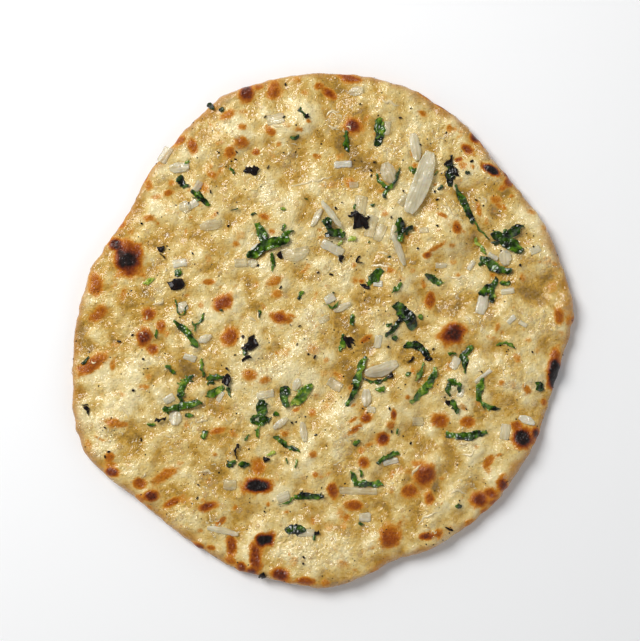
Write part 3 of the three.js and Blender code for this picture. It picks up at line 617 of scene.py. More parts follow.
    # ghee soaks in or burns off where the crust is toasted
    dry = addNode(tree, "ShaderNodeMapRange",
                  {"Value": shown, "To Min": 1.0, "To Max": 0.34}).outputs["Result"]
    coat = addNode(tree, "ShaderNodeMath", {0: coat, 1: dry}, operation="MULTIPLY").outputs[0]
    roughness = addNode(tree, "ShaderNodeMapRange",
                        {"Value": read["wetness"], "To Min": 0.46, "To Max": 0.3}).outputs["Result"]
    surface = addNode(tree, "ShaderNodeBsdfPrincipled", {
        "Specular IOR Level": 0.16, "Base Color": toasted, "Roughness": roughness, "IOR": 1.45,
        "Normal": bump,
        "Subsurface Weight": 0.06, "Subsurface Radius": (1.0, 0.6, 0.3), "Subsurface Scale": 1.2 * mm,
        "Coat Weight": coat, "Coat Roughness": 0.1, "Coat IOR": 1.55, "Coat Normal": coatBump})
    finishMaterial(tree, surface)
    return material


crustMesh.materials.append(bakedWheatCrust())
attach(naanCrust, "root")
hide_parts("naan_bread")
print("crust: material made")


# Toppings: torn coriander, bits of onion and burnt leaf. A CAD topping is copied, made finer,
# ragged and crumpled, and laid on the fine crust; smaller ones are made along short paths.
toppingLook = {
    "coriander": {"longest": 0.7, "smoothing": 1, "ragged": 0.34, "crumple": 0.36, "sink": 0.1,
                  "flat": 0.6, "slot": "coriander_leaf"},
    "charred": {"longest": 0.7, "smoothing": 2, "ragged": 0.75, "crumple": 0.5, "sink": 0.15, "flat": 0.8,
                "slot": "charred_leaf"},
    "onion": {"longest": 0.8, "smoothing": 0, "ragged": 0.1, "crumple": 0.04, "sink": 0.75, "flat": 1.0,
              "slot": "soft_onion"},
    "frillSpacing": 2.6, "frillLength": (0.7, 2.0), "frillWidth": (0.5, 1.1), "frillThickness": 0.35,
    "seed": 23,
}
toppingDice = np.random.default_rng(toppingLook["seed"])
warpX, warpY = softNoise(toppingDice, 0.8), softNoise(toppingDice, 0.8)
crumpled = np.abs(softNoise(toppingDice, 1.1))
tornTone = softNoise(toppingDice, 1.6)


def cadGround(x, y):
    hit = cadTree.ray_cast(Vector((x, y, 100)), Vector((0, 0, -1)))[0]
    return hit.z if hit else 0.0


def finerMesh(node, longest, smoothing):
    work = bmesh.new()
    work.from_mesh(node.data)
    bmesh.ops.remove_doubles(work, verts=work.verts, dist=0.001 * mm)
    for _ in range(6):
        longEdges = [edge for edge in work.edges if edge.calc_length() > longest * mm]
        if not longEdges:
            break
        bmesh.ops.subdivide_edges(work, edges=longEdges, cuts=1)
        bmesh.ops.triangulate(work, faces=work.faces)
    for _ in range(smoothing):
        bmesh.ops.smooth_vert(work, verts=work.verts, factor=0.5, use_axis_x=True, use_axis_y=True,
                              use_axis_z=True)
    places = np.array([vertex.co / mm for vertex in work.verts])
    faces = [[vertex.index for vertex in face.verts] for face in work.faces]
    work.free()
    return places, faces


def smoothPath(points, step):
    points = [np.array(onBread(*point)) for point in points]
    points = [2 * points[0] - points[1]] + points + [2 * points[-1] - points[-2]]
    path = []
    for before, start, end, after in zip(points, points[1:], points[2:], points[3:]):
        count = max(2, round(float(np.linalg.norm(end - start)) / step))
        for t in np.arange(count) / count:
            bend = 2 * before - 5 * start + 4 * end - after
            twist = 3 * start - before - 3 * end + after
            path.append(0.5 * (2 * start + (end - before) * t + bend * t ** 2 + twist * t ** 3))
    return np.array(path + [points[-2]])


def shred(points, width, thickness, tone, squareness=2.4, ragged=0.25, lift=0.1):
    # A closed sliver along a path: rings of eight points, narrowing to both ends
    path = smoothPath(points, min(0.6, width * 0.35))
    heading = np.gradient(path, axis=0)
    heading /= np.linalg.norm(heading, axis=1)[:, None] + 1e-9
    side = np.stack([-heading[:, 1], heading[:, 0]], 1)
    share = np.linspace(0.03, 0.97, len(path))
    half = width / 2 * (1 - np.abs(2 * share - 1) ** squareness) ** (1 / squareness)
    vertices, tones, along, across = [], [], [], []
    start = toppingDice.uniform(0, 500)
    travelled = np.concatenate([[0], np.cumsum(np.linalg.norm(np.diff(path, axis=0), axis=1))])
    for place, sideways, reach, gone in zip(path, side, half, travelled):
        wobble = 1 + ragged * toppingDice.normal(size=2)
        for step in range(8):
            turn = step * math.pi / 4
            swing = math.copysign(abs(math.cos(turn)) ** 0.7, math.cos(turn))
            offset = swing * reach * float(np.clip(wobble[0 if swing > 0 else 1], 0.3, 1.7))
            x, y = place + sideways * offset
            rise = thickness * (0.5 + 0.5 * math.copysign(abs(math.sin(turn)) ** 0.7, math.sin(turn)))
            vertices.append((x, y, rise + lift))
            tones.append(tone)
            along.append(start + gone)
            across.append(start + offset)
    faces = []
    for ring in range(len(path) - 1):
        for step in range(8):
            a, b = ring * 8 + step, ring * 8 + (step + 1) % 8
            faces.append((a, a + 8, b + 8, b))
    faces += [tuple(range(8)), tuple(range(len(path) * 8 - 1, len(path) * 8 - 9, -1))]
    return np.array(vertices), faces, tones, along, across


class Heap:
    # Slivers gathered into one mesh
    def __init__(self):
        self.vertices, self.faces, self.tone, self.along, self.across = [], [], [], [], []

    def add(self, vertices, faces, tone, along, across):
        start = len(self.vertices)
        self.vertices += [tuple(v) for v in vertices]
        self.faces += [tuple(start + i for i in face) for face in faces]
        self.tone += list(tone)
        self.along += list(along)
        self.across += list(across)


def layDown(vertices, look):
    # Ragged in plan, crumpled, and laid on the crust: z comes in as height above the ground
    x, y, lift = np.array(vertices, float).T
    newX = x + look["ragged"] * readGrid(warpX, x, y)
    newY = y + look["ragged"] * readGrid(warpY, x, y)
    bend = look["crumple"] * readGrid(crumpled, newX, newY)
    return np.stack([newX, newY, roundedTop(newX, newY) + np.maximum(lift - look["sink"], -0.3) + bend], 1)


def makeTopping(name, heap, look, material):
    mesh = meshFrom(name, layDown(heap.vertices, look), heap.faces)
    for attributeName in ("tone", "along", "across"):
        attribute = mesh.attributes.new(attributeName, "FLOAT", "POINT")
        attribute.data.foreach_set("value", np.array(getattr(heap, attributeName), np.float32))
    mesh.materials.append(material)
    work = bmesh.new()
    work.from_mesh(mesh)
    bmesh.ops.recalc_face_normals(work, faces=work.faces)
    work.to_mesh(mesh)
    work.free()
    piece = newObject(name, mesh)
    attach(piece, "root")
    return piece


# Fresh coriander wilted in hot ghee: thin, wet and translucent, near black where it's folded.
# Dark green with lime ribs and edges, and small sharp highlights.
def wiltedCorianderLeaf():
    look = {"dark": "#080C03", "deep": "#233C04", "green": "#4E7410", "lime": "#A9B446", "veinSize": 2.9,
            "contrast": 1.9,
            "filmSize": 2.2}
    material, tree = newMaterial("wilted_coriander_leaf")
    coords = addNode(tree, "ShaderNodeTexCoord").outputs["Object"]
    tone = addNode(tree, "ShaderNodeAttribute", attribute_name="tone").outputs["Fac"]
    vein = addNode(tree, "ShaderNodeTexNoise",
                   {"Vector": coords, "Scale": 1 / (look["veinSize"] * mm), "Detail": 3.0}).outputs["Fac"]
    spread = addNode(tree, "ShaderNodeMath", {0: vein, 1: -0.5}, operation="ADD").outputs[0]
    mixed = addNode(tree, "ShaderNodeMath", {0: spread, 1: look["contrast"], 2: tone},
                    operation="MULTIPLY_ADD").outputs[0]
    colour = addNode(tree, "ShaderNodeValToRGB", {"Fac": mixed})
    setRamp(colour, [(0.0, look["dark"]), (0.3, look["deep"]), (0.62, look["green"]), (1.0, look["lime"])])
    bump = addNode(tree, "ShaderNodeBump",
                   {"Height": vein, "Strength": 0.7, "Distance": 0.8 * mm}).outputs["Normal"]
    # the ghee film is smoother than the leaf under it, so its glints are few and bright
    film = addNode(tree, "ShaderNodeTexNoise",
                   {"Vector": coords, "Scale": 1 / (look["filmSize"] * mm), "Detail": 1.0}).outputs["Fac"]
    filmBump = addNode(tree, "ShaderNodeBump",
                       {"Height": film, "Strength": 0.8, "Distance": 1.2 * mm}).outputs["Normal"]
    finishMaterial(tree, addNode(tree, "ShaderNodeBsdfPrincipled", {
        "Base Color": colour.outputs["Color"], "Roughness": 0.5, "IOR": 1.42, "Specular IOR Level": 0.08,
        "Normal": bump,
        "Coat Weight": 0.9, "Coat Roughness": 0.04, "Coat Normal": filmBump}))
    return material


# Onion softened in the oven: wet flesh that light goes into, whitish with fine fibres along it.
def softCookedOnion():
    look = {"clear": "#C6B98A", "flesh": "#E3DBBB", "white": "#FAF7EC", "fibreWidth": 1.1,
            "fibreLength": 9.0, "contrast": 0.8,
            "filmSize": 2.0}
    material, tree = newMaterial("soft_cooked_onion")
    across = addNode(tree, "ShaderNodeAttribute", attribute_name="across").outputs["Fac"]
    along = addNode(tree, "ShaderNodeAttribute", attribute_name="along").outputs["Fac"]
    tone = addNode(tree, "ShaderNodeAttribute", attribute_name="tone").outputs["Fac"]
    wide = addNode(tree, "ShaderNodeMath", {0: across, 1: look["fibreWidth"]},
                   operation="DIVIDE").outputs[0]
    far = addNode(tree, "ShaderNodeMath", {0: along, 1: look["fibreLength"]}, operation="DIVIDE").outputs[0]
    place = addNode(tree, "ShaderNodeCombineXYZ", {"X": wide, "Y": far}).outputs[0]
    fibre = addNode(tree, "ShaderNodeTexNoise",
                    {"Vector": place, "Scale": 1.0, "Detail": 2.0}).outputs["Fac"]
    spread = addNode(tree, "ShaderNodeMath", {0: fibre, 1: -0.5}, operation="ADD").outputs[0]
    mixed = addNode(tree, "ShaderNodeMath", {0: spread, 1: look["contrast"], 2: tone},
                    operation="MULTIPLY_ADD").outputs[0]
    colour = addNode(tree, "ShaderNodeValToRGB", {"Fac": mixed})
    setRamp(colour, [(0.05, look["clear"]), (0.5, look["flesh"]), (1.0, look["white"])])
    bump = addNode(tree, "ShaderNodeBump",
                   {"Height": fibre, "Strength": 0.25, "Distance": 0.3 * mm}).outputs["Normal"]
    coords = addNode(tree, "ShaderNodeTexCoord").outputs["Object"]
    film = addNode(tree, "ShaderNodeTexNoise",
                   {"Vector": coords, "Scale": 1 / (look["filmSize"] * mm), "Detail": 1.0}).outputs["Fac"]
    filmBump = addNode(tree, "ShaderNodeBump",
                       {"Height": film, "Strength": 0.8, "Distance": 1.0 * mm}).outputs["Normal"]
    opacity = addNode(tree, "ShaderNodeMapRange",
                      {"Value": mixed, "From Min": 0.1, "From Max": 1.0, "To Min": 0.34,
                       "To Max": 0.92}).outputs["Result"]
    finishMaterial(tree, addNode(tree, "ShaderNodeBsdfPrincipled", {
        "Base Color": colour.outputs["Color"], "Roughness": 0.34, "IOR": 1.38, "Normal": bump,
        "Alpha": opacity,
        "Subsurface Weight": 0.35, "Subsurface Radius": (1.0, 0.8, 0.5), "Subsurface Scale": 1.2 * mm,
        "Coat Weight": 1.0, "Coat Roughness": 0.08, "Coat IOR": 1.5, "Coat Normal": filmBump}))
    return material


# Leaf burnt to charcoal in the oven: black, brittle and dull, with a brown edge and a little ghee.
def burntLeafCharcoal():
    look = {"black": "#070505", "brown": "#2B1408", "flakeSize": 0.8}
    material, tree = newMaterial("burnt_leaf_charcoal")
    coords = addNode(tree, "ShaderNodeTexCoord").outputs["Object"]
    flake = addNode(tree, "ShaderNodeTexNoise",
                    {"Vector": coords, "Scale": 1 / (look["flakeSize"] * mm), "Detail": 3.0}).outputs["Fac"]
    colour = addNode(tree, "ShaderNodeValToRGB", {"Fac": flake})
    setRamp(colour, [(0.45, look["black"]), (0.75, look["brown"])])
    bump = addNode(tree, "ShaderNodeBump",
                   {"Height": flake, "Strength": 0.8, "Distance": 0.5 * mm}).outputs["Normal"]
    finishMaterial(tree, addNode(tree, "ShaderNodeBsdfPrincipled", {
        "Base Color": colour.outputs["Color"], "Roughness": 0.6, "IOR": 1.5, "Specular IOR Level": 0.1,
        "Normal": bump,
        "Coat Weight": 0.25, "Coat Roughness": 0.06}))
    return material


leafMaterial, onionMaterial, charMaterial = wiltedCorianderLeaf(), softCookedOnion(), burntLeafCharcoal()

# How light a coriander leaf is: 0 black, 0.4 dark green, 0.7 fresh green, 1 lime
leafTones = {2: 0.5, 3: 0.08, 4: 0.36, 5: 0.46, 8: 0.26, 13: 0.26, 14: 0.14, 15: 0.42, 16: 0.52, 18: 0.45,
             20: 0.46,
             21: 0.42, 22: 0.24, 23: 0.24, 24: 0.36, 26: 0.7, 27: 0.48, 28: 0.46, 29: 0.42, 30: 0.42}
onionTones = {6: 0.5, 1: 0.4, 3: 0.35, 4: 0.3, 7: 0.4, 11: 0.3, 19: 0.5, 22: 0.7, 5: 0.55}


def addCadToppings():
    kinds = ("coriander_leaf_", "onion_slice_", "charred_leaf_")
    names = [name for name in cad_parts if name.startswith(kinds)]
    for name in sorted(names):
        kind = name.split("_")[0]
        look = toppingLook[kind]
        number = int(name[-2:])
        places, faces = finerMesh(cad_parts[name], look["longest"], look["smoothing"])
        ground = np.array([cadGround(x, y) for x, y, z in places])
        centre = places[:, :2].mean(0)
        flat = places[:, :2] - centre
        lengthwise = np.linalg.svd(flat, full_matrices=False)[2][0]
        crosswise = np.array([-lengthwise[1], lengthwise[0]])
        heap = Heap()
        lifted = np.column_stack([places[:, :2], (places[:, 2] - ground) * look["flat"]])
        if kind == "coriander":
            tone = leafTones.get(number, 0.4) - 0.04 + 0.12 * readGrid(tornTone, places[:, 0], places[:, 1])
        else:
            tone = np.full(len(places), onionTones.get(number, 0.5))
        start = 40.0 * number
        heap.add(lifted, faces, tone, start + flat @ lengthwise, start + flat @ crosswise)
        if kind == "coriander":
            addFrills(heap, places, leafTones.get(number, 0.4), number)
        material = {"coriander": leafMaterial, "charred": charMaterial, "onion": onionMaterial}[kind]
        piece = makeTopping(name.replace("leaf", "sprig").replace("slice", "sliver"), heap, look, material)
        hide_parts(name)


def addFrills(heap, places, tone, number):
    # Short torn lobes that stick out along the leaf's edge
    low, high = places[:, :2].min(0), places[:, :2].max(0)
    count = int(np.linalg.norm(high - low) / toppingLook["frillSpacing"]) + 2
    for _ in range(count):
        root = places[toppingDice.integers(len(places)), :2]
        heading = toppingDice.uniform(0, 2 * math.pi)
        length = toppingDice.uniform(*toppingLook["frillLength"])
        tip = root + length * np.array([math.cos(heading), math.sin(heading)])
        back = root - 0.6 * np.array([math.cos(heading), math.sin(heading)])
        width = toppingDice.uniform(*toppingLook["frillWidth"])
        points = [fromBread(*back), fromBread(*root), fromBread(*tip)]
        heap.add(*shred(points, width, toppingLook["frillThickness"], tone + toppingDice.normal() * 0.12,
                        ragged=0.2, lift=0.35))


def flecks(heap, places, thickness, squareness=2.4, ragged=0.25, lift=0.1, widthShare=1.0):
    # Each fleck is x, y, length, width, turn in degrees, tone
    for x, y, length, width, turn, tone in places:
        ahead = np.array([math.cos(math.radians(turn)), math.sin(math.radians(turn))]) * length / 2
        points = [(x - ahead[0], y - ahead[1]), (x, y), (x + ahead[0], y + ahead[1])]
        heap.add(*shred(points, width * widthShare, thickness, tone, squareness, ragged, lift))


# Small pieces on the sheet.
leafFlecks = [
    (-65.5, 68.5, 5.4, 3.6, -60, 0.15), (-63.5, 66.5, 3.4, 2, 20, 0.3), (-52, 103.5, 4.8, 3, -50, 0.2),
    (-47, 101.2, 2.6, 2, 0, 0.3), (-63, 77, 3, 1.8, 40, 0.5), (-42.3, 73.3, 3.2, 2, -60, 0.35),
    (-40.5, 55.5, 2.8, 1.6, 0, 0.5), (-13.5, 88.8, 4, 1.8, 0, 0.4), (-18.5, 47.2, 3, 1.6, 80, 0.45),
    (-18.5, 56, 2.2, 1.6, 0, 0.75), (-32, 53.7, 1.8, 1.4, 0, 0.3), (22.5, 57.7, 2.6, 2, 30, 0.35),
    (13, 42.2, 4.4, 2, 20, 0.95), (8, 40, 3, 1.8, 70, 0.85), (15, 56.8, 3, 1.6, 80, 0.4),
    (41, 73.5, 5, 3.4, -30, 0.6), (66, 72, 3.2, 2.4, 0, 0.15), (54, 66, 3, 2.2, 40, 0.4),
    (83.5, 21.8, 4, 2.6, 0, 0.45), (26, -27, 3.8, 2.4, 10, 0.55), (39, -20, 2.8, 2.2, 80, 0.5),
    (33, -4, 3, 2.4, 40, 0.4), (44.5, 6, 3, 1.8, -70, 0.45), (59, -10.5, 4.6, 1.8, 0, 0.35),
    (34, -46.5, 3, 2, 70, 0.5), (15, -51.5, 3.4, 2.8, 45, 0.4), (17.5, -88.8, 3, 1.6, 0, 0.45),
    (-4, -95, 2.6, 1.8, 60, 0.4), (-24, -56.5, 4, 2, 0, 0.95), (-42.5, -61, 5, 3.4, 40, 0.4),
    (-36.5, -61.5, 5, 2.4, 0, 0.45), (-35, -49, 3, 1.4, 60, 0.5), (-17, -60, 3, 1, 85, 0.5),
    (-12.5, -61, 3, 1, 85, 0.6), (-55, -48, 4, 2.8, 80, 0.4), (-62, -39, 4, 2, 10, 0.4),
    (-36, -10, 3, 2.2, 60, 0.5), (-11, 16, 4.4, 2, 80, 0.3), (-10.4, 17.4, 2, 1.8, 0, 0.5),
    (-29.5, 7, 4, 1.4, 85, 0.45), (-76.5, -1.5, 5, 1.3, 85, 0.5), (-67, 26.5, 3.6, 2.8, -40, 0.35),
    (62, -80.8, 3.2, 2, 20, 0.3), (-79, -43.5, 3.6, 1.8, 0, 0.6), (9.5, -5, 4, 2, 80, 0.45),
    (83, 44.5, 4, 2.6, 60, 0.3), (78.5, 40.5, 4, 2.4, -20, 0.35), (88, 40, 3.6, 2.4, 30, 0.35),
    (73, 31, 3.4, 2.2, 20, 0.4), (77, 18, 3.4, 2.2, -60, 0.4), (36.5, 9, 3.4, 2.4, 80, 0.25),
    (30, 3, 3, 2, 30, 0.35), (43, -6.5, 3, 2.4, -20, 0.2), (65, -15, 3.4, 2, 60, 0.4),
    (62, -27, 3.4, 2.4, 80, 0.45), (60, -33, 3.6, 2.2, -50, 0.35), (-60, -34.5, 3.6, 2, 20, 0.4),
    (-65, -30, 3, 2, 60, 0.35), (-57, -33, 3.6, 1.8, -30, 0.4), (-52, -24, 3.4, 2.4, 10, 0.35),
    (-22, -38.5, 3.2, 2.4, 0, 0.3), (-31, -39.5, 3.4, 2.2, 30, 0.3), (17, -65.5, 3.4, 2, -60, 0.4),
    (44.6, 5.6, 1.6, 1.2, 0, 0.5), (4.6, 17.6, 1.4, 1, 0, 0.5), (-47, 9.5, 1.6, 1.2, 0, 0.4),
    (62, 2.4, 1.4, 1, 0, 0.5), (21, 41, 2.2, 1.2, 60, 0.5), (-11, 101.6, 2, 1.4, 0, 0.2),
    (30, 34, 2.4, 1.6, 30, 0.3), (-8, 60, 1.6, 1.2, 0, 0.5), (52, 72, 2.2, 1.2, 45, 0.4),
]
leafShreds = [
    ([(-12, 101), (-9.6, 98.6), (-7.5, 97)], 2.2, 0.35), ([(10.5, 92), (10.2, 87), (10.6, 82)], 2.6, 0.45),
    ([(35, 75), (33.6, 70), (31, 66), (27, 67), (24, 72)], 1.8, 0.42),
    ([(30.6, 67), (29, 64), (28, 61)], 2.4, 0.3), ([(70, 43), (72, 39), (74.5, 35.5)], 1.8, 0.7),
    ([(31.5, 17), (33.6, 19.4), (35.5, 22)], 2.4, 0.55), ([(9, -1.5), (8.6, -6), (8, -10)], 2.4, 0.5),
    ([(13.5, 7.5), (13, 5), (13.6, 2.5)], 2.4, 0.55),
    ([(18, -22), (22, -23.6), (26, -23), (30, -21)], 1.8, 0.25),
    ([(46, -14.5), (44.6, -19), (42.5, -23.5)], 2, 0.55),
    ([(57, -22.6), (60.4, -24), (64, -25)], 3.2, 0.35), ([(57.5, -24), (57, -27), (58, -30)], 2.6, 0.4),
    ([(57.8, -32.4), (60, -35), (62, -38)], 2.8, 0.4), ([(79.5, -6.5), (84, -5.8), (88, -8)], 1.4, 0.5),
    ([(25.5, -61), (29, -57.8), (35, -56)], 2.8, 0.42),
    ([(-20, -79.8), (-16, -78.6), (-13, -76.8)], 1.1, 0.5),
    ([(-23, -49), (-17, -53), (-11, -56)], 2.2, 0.42), ([(-30, -43), (-30.4, -46), (-30, -49)], 1.8, 0.45),
    ([(-54.5, -22), (-50, -21.4), (-46, -20.6)], 2.8, 0.4),
    ([(-44.5, -26), (-43.4, -28), (-42.5, -30.5)], 2.2, 0.45),
    ([(-72.5, -16), (-70, -18), (-68.5, -20.5)], 1.8, 0.5),
    ([(-56, -13), (-55.4, -17.6), (-55.5, -22)], 1.3, 0.5),
    ([(-60.5, 4), (-58.8, 3), (-54.5, 8)], 1.1, 0.5), ([(-59, 3), (-58.8, 1.4), (-58.5, -0.4)], 1, 0.45),
    ([(-83, 21.5), (-80, 22.4), (-77.5, 24)], 2.6, 0.95),
    ([(-68.5, 14), (-66, 7.4), (-62.5, 12)], 1.0, 0.5), ([(0, 13), (4, 10.5), (7.5, 13.5)], 1.2, 0.45),
    ([(-111, -15.5), (-109.4, -14), (-108, -12)], 1.8, 0.35), ([(69, 50), (72, 46), (76, 42)], 1.4, 0.6),
    ([(-20, 40), (-17.6, 44), (-14, 46.4)], 3.0, 0.42), ([(-24, 36), (-23, 31), (-23.4, 27)], 1.6, 0.45),
]
burntFlecks = [
    (-33.5, 73.5, 6, 4.6, 20, 0.5), (12, -5, 4.4, 3.2, 60, 0.5), (56.5, -34, 2.6, 2, 0, 0.5),
    (-2.5, -92.5, 3, 2.2, 0, 0.5), (-26, -58.8, 2.6, 2, 0, 0.5), (-108.5, -37, 4.4, 1.8, -20, 0.5),
    (-110.3, -33.8, 2, 1.6, 0, 0.5), (-28, -113.5, 3, 2, 0, 0.5), (-20, 34, 3, 1.8, -30, 0.5),
    (17.5, 32.5, 4, 1.6, -40, 0.5), (8.2, 34.6, 2.6, 1.8, 70, 0.5), (-74.5, 38, 3, 2, 30, 0.5),
    (-75.6, 35, 2.2, 1.6, 0, 0.5), (-73.4, 34.3, 2.6, 1.6, 70, 0.5), (-8, 97.6, 2.4, 1.8, 0, 0.5),
    (-44.5, -17.7, 2.2, 1.6, 0, 0.5), (49, -12.6, 4, 2.6, -30, 0.5), (40, -13.4, 4.6, 1.6, 40, 0.5),
    (20, 20.2, 3.6, 2, -10, 0.5), (19, 49.6, 5, 3, -70, 0.5), (13.6, 53, 4, 2.6, 30, 0.5),
    (21, 51, 2, 1.6, 0, 0.5), (31, -20.6, 3.6, 1.6, 30, 0.5), (-40, -55.6, 6, 1.4, 80, 0.5),
    (-33, -4, 2.6, 1.8, 40, 0.5), (-35.4, -8.6, 3, 1.6, -50, 0.5), (58, 78, 3.6, 2.4, 70, 0.5),
    (60, 72.6, 3, 2, 80, 0.5), (85, 44, 2.4, 1.6, 0, 0.5), (-47, -22.6, 2.4, 1.8, 0, 0.5),
    (58, -92, 2.4, 1.2, 30, 0.5),
]
onionDice = [
    (-73, 81, 8, 5, 60, 0.3), (-22, 97, 8, 5, 10, 0.35), (9, 76.5, 8, 3, 5, 0.75),
    (17, 57.5, 9, 6, 80, 0.25), (4, 38, 11, 4.6, -28, 0.55), (22, 48, 10, 5, 75, 0.25),
    (26, 45, 8, 4.4, 65, 0.3), (32.5, 45, 7, 4, 80, 0.4), (-31, 38, 4.4, 3.4, 40, 0.8),
    (-38, 31, 6, 4, 0, 0.3), (-66, 31, 6.4, 4, 10, 0.6), (-65, 11, 5, 4.4, 20, 0.45),
    (-61.5, -12.5, 6, 3, -20, 0.6), (-71, -31.5, 5, 3.6, 30, 0.6), (-26.6, -29.4, 8, 3.6, 10, 0.5),
    (3, 14.6, 5, 4, 30, 0.6), (5.2, -25, 7, 4.4, -30, 0.3), (73.2, -21, 9, 1.9, 38, 0.6),
    (86, 5, 4.4, 2.4, 40, 0.6), (91.5, 3, 4, 2.2, -30, 0.55), (84.5, 18, 6, 2.8, 10, 0.55),
    (83.5, -46.5, 7, 4.4, 80, 0.45), (-43, -71, 6, 5, 0, 0.25), (-18.5, -76.5, 6, 4.4, 20, 0.45),
    (16, -73.8, 17, 3.4, 0, 0.3), (19, -86, 5, 4, 0, 0.55), (-8, -93, 8, 3.4, 0, 0.45),
    (31, -60.4, 7, 2.8, 15, 0.6), (43.5, -42, 5, 4.4, 0, 0.25), (60.5, -15, 6, 4, 60, 0.55),
    (63, -28.6, 4, 2.8, 70, 0.55), (29, 93, 6, 3.6, 80, 0.35), (25, 21.6, 4, 3, 0, 0.7),
    (73, 12, 9, 5, 75, 0.55), (25, -5, 6, 3.6, 80, 0.5), (97, 37, 5, 3.6, 20, 0.5),
    (-47.5, -30.4, 5, 2.4, 60, 0.55), (37, 60, 6, 4, 50, 0.35), (46, 46, 4, 3, 0, 0.3),
    (78, 34, 5, 2.4, -30, 0.6), (14, 67, 4, 3, 0, 0.3), (0, 5, 5, 3, 30, 0.25), (54, 30, 5, 2.6, 0, 0.4),
    (-30, -40, 4, 2.4, 50, 0.55), (-60, 58, 5, 3.4, 30, 0.6), (-58, 66, 6, 3, 60, 0.45),
    (22, -36.4, 4, 3, 0, 0.4), (68, 30, 5, 2.6, 60, 0.5),
]
blackSeeds = [
    (-17.5, 113.3), (-26.5, 98), (-18, 98.2), (-25.3, 75.3), (23.3, 77.3), (21.5, 73.5), (22, 71.5),
    (17, 104), (40, 102), (35.5, 98), (44.8, 85.5), (49, 70), (36.5, 64.3), (31, 52.3), (5.5, 56.3),
    (8.5, 59), (-40, 82.5), (-40.5, 79), (-44, 48.3), (-62, 58.8), (-49, 54), (-83.5, 49.5), (-83, -13),
    (-76, 38), (-60, 35.5), (-88, -2), (-94, -5), (-86.8, -27.5), (-100, -44.5), (-98.5, -55.5),
    (-100.5, -57.8), (-84, -50), (-57.8, -71), (-57.8, -77), (51, 64), (52, 60), (52, 48), (56.5, 91),
    (96.5, 39), (84, 36), (81.5, 36.5), (43, 38), (68, 78), (16.5, 34), (8.2, 32.4), (3.5, 25.5),
    (-2.5, 26.5), (-15.5, 2.7), (-11, 2), (-37.5, -3), (-41, -11), (-12, -6.5), (-7, -11), (-4, -12),
    (29.8, -7.5), (30, -36), (18, -36), (-14.5, -42.5), (-3.5, -47.8), (31, -46.5), (72.5, -19),
    (50.5, -8.5), (-9, -104), (-9.5, -107), (-27, -83.5), (-52, 64), (70, 60), (90, 30), (40, -52),
    (66, -36), (96, -10), (-20, 20), (-30, 30),
]

leafHeap, burntHeap, onionHeap = Heap(), Heap(), Heap()
flecks(leafHeap, leafFlecks, 0.5, ragged=0.22, lift=0.3, widthShare=0.85)
for points, width, tone in leafShreds:
    leafHeap.add(*shred(points, width * 0.9, 0.5, tone, ragged=0.2, lift=0.3))
flecks(burntHeap, burntFlecks, 0.9, ragged=0.3, lift=0.15)
flecks(onionHeap, onionDice, 1.0, squareness=7.0, ragged=0.03, lift=0.35)
makeTopping("coriander_flecks", leafHeap, toppingLook["coriander"], leafMaterial)
makeTopping("burnt_flecks", burntHeap, toppingLook["charred"], charMaterial)
makeTopping("onion_dice", onionHeap, toppingLook["onion"], onionMaterial)
addCadToppings()
print("toppings laid")


